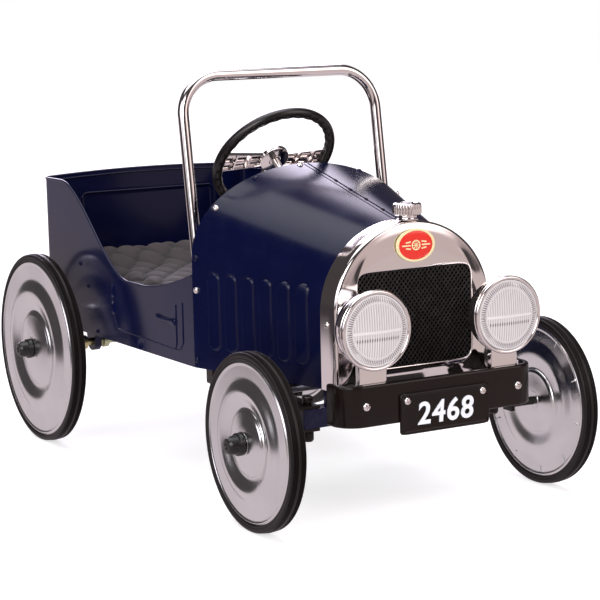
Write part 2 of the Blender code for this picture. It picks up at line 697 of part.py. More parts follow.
def make_pedals():
    """Two pedals hung from a cross rod, and the rods that drive the cranks.

    The cranks stand level, the left one back and the right one forward, so
    each arm has swung by the angle whose sine is the crank over the arm pin.
    """
    tube("pedal_rod", [(-0.1425, PEDAL_Y, PEDAL_PIVOT_Z), (0.1425, PEDAL_Y, PEDAL_PIVOT_Z)],
         PEDAL_ROD_R, STEEL)
    sine, cosine = math.sin(PEDAL_SWING), math.cos(PEDAL_SWING)
    for side, x in SIDES:
        pivot = (x * 0.0645, PEDAL_Y, PEDAL_PIVOT_Z)
        end = (x * PEDAL_DROP * sine, -PEDAL_DROP * cosine)
        pin = (x * ARM_PIN * sine, -ARM_PIN * cosine)
        bar = link_bar((0, 0), end, 0.0085)
        holes = [circle(PEDAL_ROD_R + GAP, 12), circle(PIN_R, 12, pin)]
        flat("pedal_arm_" + side, [bar] + holes, 0.005, STEEL, pivot, "X")
        low = (min(x * 0.0030, x * 0.058), -0.016, -PEDAL_DROP - 0.010)
        high = (max(x * 0.0030, x * 0.058), 0.016, -PEDAL_DROP + 0.010)
        pedal = block("pedal_" + side, low, high, RUBBER, 0.003, at=pivot)
        pedal.rotation_euler.x = x * PEDAL_SWING
        run = (PEDAL_Y - WHEELBASE, PEDAL_PIVOT_Z - ARM_PIN * cosine - REAR_R)
        rod = link_bar((0, 0), run, 0.009)
        holes = [circle(AXLE_R + GAP, 16), circle(PIN_R + 0.001, 12, run)]
        flat("connecting_rod_" + side, [rod] + holes, 0.005, STEEL,
             (x * CRANK_X, WHEELBASE + x * CRANK, REAR_R), "X")


def make_chassis():
    """Bent side rails, the blocks below them and the seat pan with its cushion."""
    front, half, top = 0.0955, 0.006, 0.018
    rear = front + (TUB_HALF - NOSE_HALF) / (SEAM_Y - NOSE_Y) * (0.212 - 0.0062)
    for side, x in SIDES:
        path = [(front, 0.0062), (rear, 0.212), (rear, 0.636)]
        outline = [(x * (u + half), v) for u, v in path] + [(x * (u - half), v) for u, v in reversed(path)]
        flat("chassis_rail_" + side, [outline], top, NAVY, (0, 0, 0.152 + top / 2))
        block("body_block_" + side, (min(x * 0.130, x * 0.150), 0.186, 0.131),
              (max(x * 0.130, x * 0.150), 0.205, 0.1516), BLACK_PAINT, 0.0015)
    wide = TUB_HALF - SHEET - 0.0005
    end = TUB_END_Y - SHEET - 0.0005
    pan = [(-wide, 0.300), (wide, 0.300), (wide, end - TUB_CORNER), (wide - TUB_CORNER, end),
           (TUB_CORNER - wide, end), (-wide, end - TUB_CORNER)]
    flat("seat_pan", [pan], SHEET, NAVY, (0, 0, SEAT_Z + SHEET / 2))
    block("seat_cushion", (-0.146, 0.318, SEAT_Z + 0.0020), (0.146, 0.636, SEAT_Z + 0.050), GREY_CLOTH,
          0.016, 3)


def centre_car():
    """Moves everything so that the origin is under the middle of the car's box."""
    middle = (WHEELBASE + REAR_R - FRONT_R) / 2
    for obj in bpy.data.objects:
        obj.location.y -= middle


clear_scene()
CAR = collection("pedal_car")
CUTTERS = collection("cutters")
SIDES = (("left", 1), ("right", -1))
make_tub()
make_cowl()
make_hinge_strip()
make_radiator()
for lamp_side, sign in SIDES:
    make_lamp(lamp_side, sign * LAMP_X)
make_bumper()
make_screen()
make_steering()
make_column_mounts()
make_front_axle()
for wheel_side, sign in SIDES:
    make_wheel("front_" + wheel_side, sign, FRONT_R, FRONT_DISC_R, FRONT_FACE_X, 0)
    make_wheel("rear_" + wheel_side, sign, REAR_R, REAR_DISC_R, REAR_FACE_X, WHEELBASE)
make_rear_axle()
make_pedals()
make_chassis()
centre_car()
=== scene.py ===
import json
import math

import bmesh
import bpy
import numpy as np
from mathutils import Matrix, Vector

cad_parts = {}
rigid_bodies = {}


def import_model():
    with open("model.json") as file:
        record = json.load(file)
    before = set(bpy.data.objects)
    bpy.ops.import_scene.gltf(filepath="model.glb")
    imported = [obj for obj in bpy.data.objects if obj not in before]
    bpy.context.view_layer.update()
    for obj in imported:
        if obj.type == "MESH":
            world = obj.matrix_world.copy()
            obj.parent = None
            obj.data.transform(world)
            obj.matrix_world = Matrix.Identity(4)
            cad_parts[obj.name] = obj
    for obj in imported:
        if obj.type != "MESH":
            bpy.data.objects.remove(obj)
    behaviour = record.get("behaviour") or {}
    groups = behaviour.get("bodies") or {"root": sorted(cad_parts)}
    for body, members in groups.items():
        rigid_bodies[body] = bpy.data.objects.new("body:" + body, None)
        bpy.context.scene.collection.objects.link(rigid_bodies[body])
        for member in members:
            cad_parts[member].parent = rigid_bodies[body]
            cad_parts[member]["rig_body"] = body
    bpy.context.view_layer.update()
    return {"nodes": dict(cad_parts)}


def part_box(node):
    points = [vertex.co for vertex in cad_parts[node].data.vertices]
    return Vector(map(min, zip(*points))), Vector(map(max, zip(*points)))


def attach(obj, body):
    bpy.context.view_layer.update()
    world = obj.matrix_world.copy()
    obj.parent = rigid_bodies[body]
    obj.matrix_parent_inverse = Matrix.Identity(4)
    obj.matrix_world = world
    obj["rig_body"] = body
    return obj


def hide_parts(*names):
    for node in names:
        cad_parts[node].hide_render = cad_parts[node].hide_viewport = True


for leftover in list(bpy.data.objects):
    bpy.data.objects.remove(leftover, do_unlink=True)
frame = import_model()
NODES = frame["nodes"]
TAU = 2 * math.pi
SHEET = 0.0015
SIDES = (("left", 1), ("right", -1))


# ---------------------------------------------------------------- measuring from the frame
def corners(node):
    low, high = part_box(node)
    return np.array(low, float), np.array(high, float)


AXLE_Y = (corners("tyre_front_right")[0][1] + corners("tyre_front_right")[1][1]) / 2


def span(node):
    """Lowest and highest corner of a CAD node, with y counted back from the front axle."""
    low, high = corners(node)
    shift = np.array([0, AXLE_Y, 0])
    return low - shift, high - shift


def middle(node):
    low, high = span(node)
    return (low + high) / 2


# ---------------------------------------------------------------- surfaces as arrays
def unit(v):
    v = np.asarray(v, float)
    return v / np.linalg.norm(v, axis=-1, keepdims=True)


def smooth(x):
    """3x^2 - 2x^3, held to 0 and 1 outside its range."""
    x = np.clip(x, 0, 1)
    return x * x * (3 - 2 * x)


def eased(x, places, values):
    """A line through the values whose slope is nought at each of the places."""
    places, values = np.asarray(places, float), np.asarray(values, float)
    i = np.clip(np.searchsorted(places, x) - 1, 0, len(places) - 2)
    t = smooth((x - places[i]) / (places[i + 1] - places[i]))
    return values[i] + (values[i + 1] - values[i]) * t


def quads(index):
    return np.stack([index[:-1, :-1], index[1:, :-1], index[1:, 1:], index[:-1, 1:]], -1).reshape(-1, 4)


def grid(points, wrap_u=False, wrap_v=False):
    """A surface of quads over an (n, m, 3) grid of points, closed on itself where it wraps."""
    n, m = points.shape[:2]
    index = np.arange(n * m).reshape(n, m)
    if wrap_u:
        index = np.vstack([index, index[:1]])
    if wrap_v:
        index = np.hstack([index, index[:, :1]])
    return points.reshape(-1, 3), quads(index)


def slab(outer, inner, wrap=False):
    """Two skins made one closed wall: the outer grid, then the inner one turned back under it."""
    verts, faces = grid(np.concatenate([outer, inner[:, ::-1]], 1), wrap_u=wrap, wrap_v=True)
    if not wrap:
        n, m = outer.shape[:2]
        index = np.arange(n * 2 * m).reshape(n, 2 * m)
        for row in (index[0], index[-1]):
            faces = np.vstack([faces, quads(np.stack([row[:m], row[:m - 1:-1]], 1))])
    return verts, faces


def join(*parts):
    starts = np.cumsum([0] + [len(verts) for verts, _ in parts[:-1]])
    faces = [faces + start for (_, faces), start in zip(parts, starts)]
    return np.vstack([verts for verts, _ in parts]), np.vstack(faces)


def ring(radius, count=24, other=None):
    """Points of a circle, or of an ellipse with its other half width."""
    t = np.linspace(0, TAU, count, endpoint=False)
    return np.stack([radius * np.cos(t), (other or radius) * np.sin(t)], 1)


def squared(half_u, half_v, power, count=48):
    """A rectangle with soft corners: |u/a|^p + |v/b|^p = 1."""
    t = np.linspace(0, TAU, count, endpoint=False)
    u, v = np.cos(t), np.sin(t)
    reach = (np.abs(u) ** power + np.abs(v) ** power) ** (-1 / power)
    return np.stack([half_u * u * reach, half_v * v * reach], 1)


def bent(points, radius, count=12):
    """A path through points, each corner turned into an arc of the radius."""
    points = [np.array(p, float) for p in points]
    path = [points[0][None]]
    for before, at, after in zip(points, points[1:], points[2:]):
        back, on = unit(before - at), unit(after - at)
        half = math.acos(float(np.clip(back @ on, -1, 1))) / 2
        centre = at + unit(back + on) * radius / math.sin(half)
        start, end = at + back * radius / math.tan(half), at + on * radius / math.tan(half)
        chord = start + (end - start) * np.linspace(0, 1, count)[:, None]
        path.append(centre + unit(chord - centre) * radius)
    path.append(points[-1][None])
    return np.vstack(path)


def capped_rows(rows):
    """Rows of a form with both ends closed by a row drawn in to the end's middle."""
    first, last = (end.mean(1, keepdims=True).repeat(rows.shape[1], 1) for end in (rows[:1], rows[-1:]))
    return np.concatenate([first, rows, last])


def run_of(path):
    """Unit directions along a path, taken between each point's neighbours."""
    return unit(np.vstack([path[1:2] - path[:1], path[2:] - path[:-2], path[-1:] - path[-2:-1]]))


def carried(profile, path, up, closed=False):
    """A profile carried along a path: path + side * a + top * b for each of its points (a, b)."""
    path = np.asarray(path, float)
    tangent = unit(np.roll(path, -1, 0) - np.roll(path, 1, 0)) if closed else run_of(path)
    side = unit(np.cross(tangent, up))
    top = np.cross(side, tangent)
    points = path[:, None] + side[:, None] * profile[None, :, :1] + top[:, None] * profile[None, :, 1:]
    return grid(points if closed else capped_rows(points), wrap_u=closed, wrap_v=True)


def turned(profile, centre, axis, steps=96, closed=False, ripple=None):
    """A turned form: centre + axis * h + r * (cos t * u + sin t * v) for each (r, h) of the profile.

    ripple(t, r, h) may change r and h round the turn.
    """
    axis = unit(axis)
    hint = np.array([0, 0, 1.0]) if abs(axis[2]) < 0.9 else np.array([1.0, 0, 0])
    u = unit(np.cross(hint, axis))
    v = np.cross(axis, u)
    profile = np.asarray(profile, float)
    t = np.linspace(0, TAU, steps, endpoint=False)[:, None]
    r, h = (profile[:, i][None].repeat(steps, 0) for i in (0, 1))
    if ripple:
        r, h = ripple(t, r, h)
    points = np.asarray(centre) + axis * h[..., None]
    points = points + r[..., None] * (np.cos(t)[..., None] * u + np.sin(t)[..., None] * v)
    return grid(points, wrap_u=True, wrap_v=closed)


def rounded_profile(points, radius, count=5):
    """A turned profile whose inner corners are rounded."""
    flat = [(r, h, 0) for r, h in points]
    return bent(flat, radius, count)[:, :2]


def sewn_mesh(name, verts, faces):
    """A mesh whose doubled points are merged and whose faces look outwards."""
    data = bpy.data.meshes.new(name)
    data.from_pydata(verts.tolist(), [], faces)
    work = bmesh.new()
    work.from_mesh(data)
    bmesh.ops.remove_doubles(work, verts=work.verts, dist=0.000002)
    bmesh.ops.recalc_face_normals(work, faces=work.faces)
    work.to_mesh(data)
    work.free()
    return data


def placed(name, data):
    obj = bpy.data.objects.new(name, data)
    bpy.context.scene.collection.objects.link(obj)
    return obj


def made_mesh(name, verts, faces, sharp):
    data = sewn_mesh(name, verts, faces.tolist())
    data.shade_smooth()
    data.set_sharp_from_angle(angle=math.radians(sharp))
    return data


def piece(name, shape, body, look, stands_for=(), sharp=38):
    """Makes a piece of an array shape, puts it behind the front axle and lets it ride on its body."""
    verts, faces = shape
    data = made_mesh(name, verts + np.array([0, AXLE_Y, 0]), faces, sharp)
    data.materials.append(look)
    obj = placed(name, data)
    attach(obj, body)
    if stands_for:
        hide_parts(*stands_for)
    return obj


# ---------------------------------------------------------------- shared effects
def group(name, inputs, outputs):
    tree = bpy.data.node_groups.new(name, "ShaderNodeTree")
    for label, kind, value in inputs:
        socket = tree.interface.new_socket(label, in_out="INPUT", socket_type=kind)
        if value is not None:
            socket.default_value = value
    for label, kind in outputs:
        tree.interface.new_socket(label, in_out="OUTPUT", socket_type=kind)
    return tree, tree.nodes.new("NodeGroupInput"), tree.nodes.new("NodeGroupOutput")


def node(tree, kind, values=(), **settings):
    """A shader node with its settings, and its unlinked inputs given as (socket, value)."""
    made = tree.nodes.new("ShaderNode" + kind)
    for key, value in settings.items():
        setattr(made, key, value)
    for socket, value in values:
        if hasattr(value, "is_output"):
            tree.links.new(value, made.inputs[socket])
        else:
            made.inputs[socket].default_value = value
    return made


def arithmetic(tree, operation, a, b=0.0):
    return node(tree, "Math", [(0, a), (1, b)], operation=operation).outputs[0]


def ramp(tree, source, low, high):
    """0 below low and 1 above high, smoothly."""
    return node(tree, "MapRange", [("Value", source), ("From Min", low), ("From Max", high)],
                interpolation_type="SMOOTHSTEP").outputs["Result"]


FLOAT, VECTOR = "NodeSocketFloat", "NodeSocketVector"


def make_grain():
    """Fine unevenness of a surface and its slow cloudiness."""
    tree, given, out = group("fine_grain", [("Vector", VECTOR, None), ("Scale", FLOAT, 600.0)],
                             [("Height", FLOAT), ("Cloud", FLOAT)])
    fine = node(tree, "TexNoise", [("Vector", given.outputs["Vector"]), ("Scale", given.outputs["Scale"]),
                                   ("Detail", 3.0), ("Roughness", 0.55)])
    slow = node(tree, "TexNoise", [("Vector", given.outputs["Vector"]), ("Scale", 14.0), ("Detail", 4.0)])
    tree.links.new(fine.outputs[0], out.inputs["Height"])
    tree.links.new(slow.outputs[0], out.inputs["Cloud"])
    return tree


def make_scratches():
    """Hair scratches: the thin level lines of two noises stretched across each other."""
    tree, given, out = group("hair_scratches", [("Vector", VECTOR, None), ("Width", FLOAT, 0.006)],
                             [("Mask", FLOAT)])
    lines = []
    for turn, stretch in (((0.3, 0.2, 0.9), (18, 160, 30)), ((1.1, 0.7, 0.2), (150, 22, 60))):
        laid = node(tree, "Mapping", [("Vector", given.outputs["Vector"]), ("Rotation", turn),
                                      ("Scale", stretch)])
        noise = node(tree, "TexNoise", [("Vector", laid.outputs[0]), ("Scale", 1.0), ("Detail", 1.0)])
        off = arithmetic(tree, "ABSOLUTE", arithmetic(tree, "SUBTRACT", noise.outputs[0], 0.56))
        lines.append(arithmetic(tree, "LESS_THAN", off, given.outputs["Width"]))
    patch = node(tree, "TexNoise", [("Vector", given.outputs["Vector"]), ("Scale", 26.0)])
    kept = ramp(tree, patch.outputs[0], 0.52, 0.68)
    both = arithmetic(tree, "MAXIMUM", lines[0], lines[1])
    tree.links.new(arithmetic(tree, "MULTIPLY", both, kept), out.inputs["Mask"])
    return tree


def make_dust():
    """Dust that lies on what faces up, broken by a noise."""
    tree, given, out = group("settled_dust", [("Vector", VECTOR, None), ("Amount", FLOAT, 0.2)],
                             [("Mask", FLOAT)])
    facing = node(tree, "NewGeometry")
    up = node(tree, "SeparateXYZ", [(0, facing.outputs["Normal"])])
    level = ramp(tree, up.outputs["Z"], -0.2, 1.0)
    noise = node(tree, "TexNoise", [("Vector", given.outputs["Vector"]), ("Scale", 55.0), ("Detail", 6.0)])
    spots = ramp(tree, noise.outputs[0], 0.40, 0.75)
    amount = arithmetic(tree, "MULTIPLY", given.outputs["Amount"], spots)
    tree.links.new(arithmetic(tree, "MULTIPLY", level, amount), out.inputs["Mask"])
    return tree


def make_rubbed():
    """Edges rubbed by use: the sharp points of the form, broken by a noise."""
    tree, given, out = group("rubbed_edges", [("Vector", VECTOR, None), ("Amount", FLOAT, 0.5)],
                             [("Mask", FLOAT)])
    form = node(tree, "NewGeometry")
    sharp = ramp(tree, form.outputs["Pointiness"], 0.54, 0.64)
    noise = node(tree, "TexNoise", [("Vector", given.outputs["Vector"]), ("Scale", 120.0), ("Detail", 5.0)])
    broken = arithmetic(tree, "MULTIPLY", sharp, ramp(tree, noise.outputs[0], 0.45, 0.62))
    tree.links.new(arithmetic(tree, "MULTIPLY", broken, given.outputs["Amount"]), out.inputs["Mask"])
    return tree


def make_weave():
    """Plain weave: the sines of two crossing threads, and the shade between them."""
    tree, given, out = group("plain_weave", [("Vector", VECTOR, None), ("Pitch", FLOAT, 0.0009)],
                             [("Height", FLOAT), ("Shade", FLOAT)])
    parts = node(tree, "SeparateXYZ", [(0, given.outputs["Vector"])])
    turn = arithmetic(tree, "DIVIDE", TAU, given.outputs["Pitch"])
    warp = arithmetic(tree, "SINE", arithmetic(tree, "MULTIPLY", parts.outputs["X"], turn))
    weft = arithmetic(tree, "SINE", arithmetic(tree, "MULTIPLY", parts.outputs["Y"], turn))
    over = arithmetic(tree, "MULTIPLY", warp, weft)
    noise = node(tree, "TexNoise", [("Vector", given.outputs["Vector"]), ("Scale", 240.0), ("Detail", 3.0)])
    tree.links.new(arithmetic(tree, "ADD", over, noise.outputs[0]), out.inputs["Height"])
    tree.links.new(ramp(tree, over, -1.0, 1.0), out.inputs["Shade"])
    return tree


def make_turning_lines():
    """The fine rings left by a polishing wheel: a wave of the distance from a wheel's axle line."""
    tree, given, out = group("turning_lines", [("Vector", VECTOR, None), ("Scale", FLOAT, 400.0)],
                             [("Height", FLOAT), ("Sweep", FLOAT)])
    parts = node(tree, "SeparateXYZ", [(0, given.outputs["Vector"])])
    flat = node(tree, "CombineXYZ", [("Y", parts.outputs["Y"]), ("Z", parts.outputs["Z"])])
    wave = node(tree, "TexWave", [("Vector", flat.outputs[0]), ("Scale", given.outputs["Scale"]),
                                  ("Distortion", 1.5), ("Detail", 2.0)],
                wave_type="RINGS", rings_direction="SPHERICAL")
    angle = arithmetic(tree, "ARCTAN2", parts.outputs["Z"], parts.outputs["Y"])
    sweep = arithmetic(tree, "SINE", arithmetic(tree, "MULTIPLY", angle, 2.0))
    tree.links.new(wave.outputs["Fac"], out.inputs["Height"])
    tree.links.new(ramp(tree, sweep, -1.0, 1.0), out.inputs["Sweep"])
    return tree


GRAIN, SCRATCHES, DUST = make_grain(), make_scratches(), make_dust()
RUBBED, WEAVE, RINGS = make_rubbed(), make_weave(), make_turning_lines()


def effect(tree, shared, **values):
    made = tree.nodes.new("ShaderNodeGroup")
    made.node_tree = shared
    for key, value in values.items():
        if hasattr(value, "is_output"):
            tree.links.new(value, made.inputs[key])
        else:
            made.inputs[key].default_value = value
    return made


def blended(tree, share, a, b):
    """Colour a turning into colour b by the share."""
    made = node(tree, "Mix", data_type="RGBA")
    tree.links.new(share, made.inputs["Factor"])
    for socket, value in (("A", a), ("B", b)):
        target = [s for s in made.inputs if s.name == socket and s.type == "RGBA"][0]
        if hasattr(value, "is_output"):
            tree.links.new(value, target)
        else:
            target.default_value = (*value, 1)
    return [s for s in made.outputs if s.type == "RGBA"][0]


def new_look(name, **plain):
    """A node material with its plain socket values; gives it, its tree, its shader and its place."""
    made = bpy.data.materials.new(name)
    made.use_nodes = True
    shader = made.node_tree.nodes["Principled BSDF"]
    for socket, value in plain.items():
        shader.inputs[socket.replace("_", " ")].default_value = value
    return made, made.node_tree, shader, node(made.node_tree, "TexCoord").outputs["Object"]


def dressed(tree, shader, tint, rough, height, strength, distance):
    """Leads colour, roughness and a bump of the height into the shader."""
    bump = node(tree, "Bump", [("Strength", strength), ("Distance", distance), ("Height", height)])
    for socket, source in (("Base Color", tint), ("Roughness", rough), ("Normal", bump.outputs[0])):
        tree.links.new(source, shader.inputs[socket])


def spread(tree, source, gain, base):
    """source * gain + base."""
    made = node(tree, "Math", [(0, source), (1, gain), (2, base)], operation="MULTIPLY_ADD")
    return made.outputs[0]


def finish_look(name, colour, rough, metallic=0.0, coat=0.0, coat_rough=0.04, cloudy=None, worn=None,
                wear=0.0, scratch=0.12, dust=0.0, grain=700.0, relief=0.03, rings=None, shine=0.5):
    """One finish: a base colour with cloudiness, rubbed edges, scratches, dust and grain."""
    made, tree, shader, place = new_look(name, Metallic=metallic, Specular_IOR_Level=shine, Coat_Weight=coat,
                                         Coat_Roughness=coat_rough)
    fine = effect(tree, GRAIN, Vector=place, Scale=grain)
    tint = blended(tree, ramp(tree, fine.outputs["Cloud"], 0.35, 0.65), colour, cloudy or colour)
    marks = effect(tree, SCRATCHES, Vector=place).outputs["Mask"]
    if wear:
        rub = effect(tree, RUBBED, Vector=place, Amount=wear).outputs["Mask"]
        tint = blended(tree, rub, tint, worn)
    rough_now = spread(tree, fine.outputs["Cloud"], 0.10, rough - 0.05)
    rough_now = arithmetic(tree, "ADD", rough_now, arithmetic(tree, "MULTIPLY", marks, scratch))
    if dust:
        lying = effect(tree, DUST, Vector=place, Amount=dust).outputs["Mask"]
        tint = blended(tree, lying, tint, (0.42, 0.39, 0.37))
        rough_now = arithmetic(tree, "ADD", rough_now, arithmetic(tree, "MULTIPLY", lying, 0.4))
    height = fine.outputs["Height"]
    if rings:
        centred = node(tree, "Mapping", [("Vector", place), ("Location", [-c for c in rings])])
        lathe = effect(tree, RINGS, Vector=centred.outputs[0])
        height = arithmetic(tree, "ADD", height, arithmetic(tree, "MULTIPLY", lathe.outputs["Height"], 0.8))
        rough_now = arithmetic(tree, "ADD", rough_now,
                               arithmetic(tree, "MULTIPLY", lathe.outputs["Sweep"], 0.05))
    dressed(tree, shader, tint, rough_now, height, relief, 0.0006)
    return made


NAVY = finish_look("navy_enamel", (0.0016, 0.0030, 0.024), 0.17, coat=0.08, coat_rough=0.10,
                   cloudy=(0.0022, 0.0038, 0.028), worn=(0.05, 0.06, 0.11), wear=0.25, dust=0.006,
                   relief=0.028, scratch=0.0, shine=0.23)
CHROME = finish_look("mirror_chrome", (0.88, 0.84, 0.83), 0.065, 1.0, cloudy=(0.85, 0.81, 0.80),
                     scratch=0.05, relief=0.010)
DULL_CHROME = finish_look("satin_chrome", (0.78, 0.76, 0.74), 0.20, 1.0, cloudy=(0.72, 0.70, 0.68),
                          scratch=0.15, relief=0.03)
BLACK = finish_look("black_enamel", (0.0060, 0.0030, 0.0024), 0.20, coat=0.06, coat_rough=0.05,
                    cloudy=(0.008, 0.0042, 0.0034), worn=(0.06, 0.05, 0.05), wear=0.25, dust=0.005,
                    relief=0.04, scratch=0.0, shine=0.23)
# painted shade: a dull near-black that stands in for the dark hollow behind the grille mesh
HOLLOW_SHADE = finish_look("painted_hollow_shade", (0.0016, 0.0012, 0.0012), 0.9, cloudy=(0.002, 0.0016, 0.0016), shine=0.05)
SATIN_BLACK = finish_look("satin_black_enamel", (0.006, 0.0046, 0.0046), 0.38, cloudy=(0.010, 0.008, 0.008),
                          worn=(0.06, 0.05, 0.05), wear=0.35, dust=0.03, relief=0.08, shine=0.4)
TYRE = finish_look("ribbed_rubber", (0.0070, 0.0044, 0.0046), 0.42, cloudy=(0.010, 0.0068, 0.0070),
                   worn=(0.02, 0.016, 0.015), wear=0.3, scratch=0.04, dust=0.012, grain=1500.0, relief=0.15,
                   shine=0.26)
PLASTIC = finish_look("moulded_black", (0.0055, 0.0044, 0.0046), 0.28, cloudy=(0.008, 0.0066, 0.0068),
                      dust=0.015, grain=2200.0, relief=0.05)
STEEL = finish_look("plated_steel", (0.50, 0.50, 0.51), 0.30, 1.0, cloudy=(0.42, 0.42, 0.43), scratch=0.2,
                    grain=1200.0, relief=0.08)
ZINC = finish_look("yellow_zinc", (0.60, 0.53, 0.28), 0.34, 1.0, cloudy=(0.50, 0.58, 0.42), scratch=0.2,
                   grain=900.0, relief=0.08)
RED = finish_look("red_enamel", (0.78, 0.018, 0.006), 0.22, coat=0.4, cloudy=(0.70, 0.014, 0.005),
                  relief=0.02)
CREAM = finish_look("cream_enamel", (0.84, 0.74, 0.42), 0.26, coat=0.4, cloudy=(0.80, 0.70, 0.38),
                    relief=0.02)
WHITE = finish_look("white_enamel", (0.80, 0.83, 0.88), 0.30, coat=0.4, cloudy=(0.74, 0.77, 0.82),
                    relief=0.02)


def wheel_steel(place, centre):
    """Polished pressed steel with its turning lines about one wheel's axle."""
    return finish_look("pressed_steel_" + place, (0.80, 0.805, 0.80), 0.18, 1.0, cloudy=(0.75, 0.755, 0.75),
                       scratch=0.02, grain=1400.0, relief=0.05, rings=centre)


def make_glass():
    """Clear moulded lens: milky where thick, with painted shade that tints it grey in the grooves that its
    mesh carries.
    """
    made, tree, shader, place = new_look("clear_lens", Transmission_Weight=0.38, IOR=1.46,
                                         Specular_IOR_Level=0.7)
    fine = effect(tree, GRAIN, Vector=place, Scale=500.0)
    shaded_groove = node(tree, "Attribute", attribute_name="shaded_groove").outputs["Fac"]
    clear = blended(tree, fine.outputs["Cloud"], (0.97, 0.93, 0.94), (1.0, 0.97, 0.98))
    # painted shade: the lens is tinted dark grey where the shaded groove value is high
    tint = blended(tree, shaded_groove, clear, (0.22, 0.18, 0.19))
    rough = spread(tree, fine.outputs["Cloud"], 0.12, 0.02)
    dressed(tree, shader, tint, rough, fine.outputs["Height"], 0.03, 0.0005)
    return made


def make_cloth():
    """Warm grey quilted cloth: weave in height and shade, fuzz as sheen, painted shade in the seams."""
    made, tree, shader, place = new_look("quilted_cloth", Sheen_Weight=0.10, Sheen_Roughness=0.5)
    weave = effect(tree, WEAVE, Vector=place, Pitch=0.0016)
    fine = effect(tree, GRAIN, Vector=place, Scale=900.0)
    tint = blended(tree, fine.outputs["Cloud"], (0.021, 0.0140, 0.0165), (0.029, 0.020, 0.0235))
    shade = arithmetic(tree, "MULTIPLY", weave.outputs["Shade"], 0.45)
    tint = blended(tree, shade, tint, (0.048, 0.034, 0.038))
    # painted shade: the seam shade value darkens the cloth in the creases between the tufts
    seam_shade = node(tree, "Attribute", attribute_name="seam_shade").outputs["Fac"]
    tint = blended(tree, seam_shade, tint, (0.008, 0.006, 0.0065))
    rough = spread(tree, fine.outputs["Height"], 0.2, 0.62)
    dressed(tree, shader, tint, rough, weave.outputs["Height"], 0.35, 0.0004)
    return made


GLASS, CLOTH = make_glass(), make_cloth()


# ---------------------------------------------------------------- screws
def screw(place, direction, radius=0.0038, spin=0.5, recess=True, proud=1.0):
    """A pan head with a cross recess: height (1 - 0.75 r^2)^0.5 less the cross, over a polar grid."""
    r = np.array([0, 0.12, 0.18, 0.26, 0.36, 0.46, 0.54, 0.60, 0.74, 0.88, 0.97, 1.0, 1.0])[None]
    t = np.linspace(0, TAU, 48, endpoint=False)[:, None]
    x, y = r * np.cos(t + spin), r * np.sin(t + spin)
    height = np.sqrt(1 - 0.80 * r ** 2) - 0.30 + 0 * t
    if recess:
        arm = np.maximum(smooth((0.17 - np.abs(x)) / 0.06), smooth((0.17 - np.abs(y)) / 0.06))
        height = height - 0.60 * arm * smooth((0.62 - r) / 0.08)
    height[:, -1] = -0.45
    axis = unit(direction)
    u = unit(np.cross([0, 0, 1.0] if abs(axis[2]) < 0.9 else [1.0, 0, 0], axis))
    v = np.cross(axis, u)
    points = np.asarray(place) + radius * (x[..., None] * u + y[..., None] * v)
    points = points + radius * proud * height[..., None] * axis
    under = (np.asarray(place) - radius * proud * 0.45 * axis)[None, None].repeat(len(t), 0)
    return grid(np.concatenate([points, under], 1), wrap_u=True)


def both_sides(places):
    """Each place and its mirror image across the car."""
    return [(side * x, y, z) for x, y, z in places for side in (1, -1)]


# ---------------------------------------------------------------- wheels
def wheel_disc(centre, out, radius, half):
    """Two pressed steel halves about a hub: height over radius is eased from crest to valley.

    The outer half has a flat rim band, a broad crest, a sharp inner step and a dome; the inner
    half repeats them shallower, with ten short ribs crimped near its edge.
    """
    share = np.concatenate([np.linspace(1, 0.97, 8), np.linspace(0.965, 0.80, 12)[:-1],
                            np.linspace(0.80, 0.43, 30), np.linspace(0.425, 0.36, 12),
                            np.linspace(0.35, 0.13, 14)])
    places = [0.12, 0.37, 0.405, 0.43, 0.625, 0.80, 0.955, 0.975, 1.0]
    front = eased(share, places, [0.0062, 0.0022, 0.0004, -0.0016, 0.0046, -0.0010, -0.0010, 0.0002, -0.0014])
    dome = share < 0.37
    front[dome] = 0.0022 + 0.0042 * np.sin((0.37 - share[dome]) / 0.25 * math.pi / 2)
    back = eased(share, places, [0.0030, 0.0014, 0.0006, -0.0014, 0.0016, -0.0020, -0.0018, -0.0006, -0.0016])
    outer = np.stack([share * radius, half + front], 1)
    inner = np.stack([share * radius, -half - back], 1)
    boss = np.array([[0.0125, -half - 0.0030], [0.0125, -half - 0.0036], [0.0052, -half - 0.0036]])
    nose = np.array([[0.0052, half + 0.0072], [0.0125, half + 0.0072], [0.0140, half + 0.0066]])
    profile = np.vstack([nose, outer[::-1][1:], inner, boss])
    disc = turned(profile, centre, (out, 0, 0), 144, closed=True)
    ribs = []
    for k in range(10):
        t = TAU * (k + 0.3) / 10
        radial = np.array([0, math.cos(t), math.sin(t)])
        path = centre + radial * radius * np.linspace(0.865, 0.945, 7)[:, None]
        path = path - np.array([out, 0, 0]) * (half - 0.0016)
        ribs.append(carried(ring(0.0011, 8, 0.0008), path, (1, 0, 0)))
    return join(disc, *ribs)


def tyre(centre, out, radius, bore, half):
    """A solid tyre: crowned tread, round shoulders and three grooves cut near each shoulder."""
    across = np.linspace(-1, 1, 121)
    tread = radius - 0.0008 * across ** 2 - 0.0030 * (1 - np.sqrt(np.clip(1 - np.clip(
        (np.abs(across) - 0.74) / 0.26, 0, 1) ** 2, 0, 1)))
    for place in (0.26, 0.42, 0.58, 0.74):
        away = (np.abs(across) - place) * half
        tread = tread - 0.0017 * np.exp(-(away / 0.00045) ** 2)
    top = np.stack([tread, across * half], 1)
    wall = np.array([[radius - 0.0062, 1.0], [radius - 0.0068, 0.955], [radius - 0.0076, 0.985],
                     [bore + 0.0012, 0.965], [bore + 0.0002, 0.90]])
    face = np.stack([wall[:, 0], wall[:, 1] * half], 1)
    other = np.stack([wall[::-1, 0], -wall[::-1, 1] * half], 1)
    return turned(np.vstack([other, top, face]), centre, (out, 0, 0), 120, closed=True)


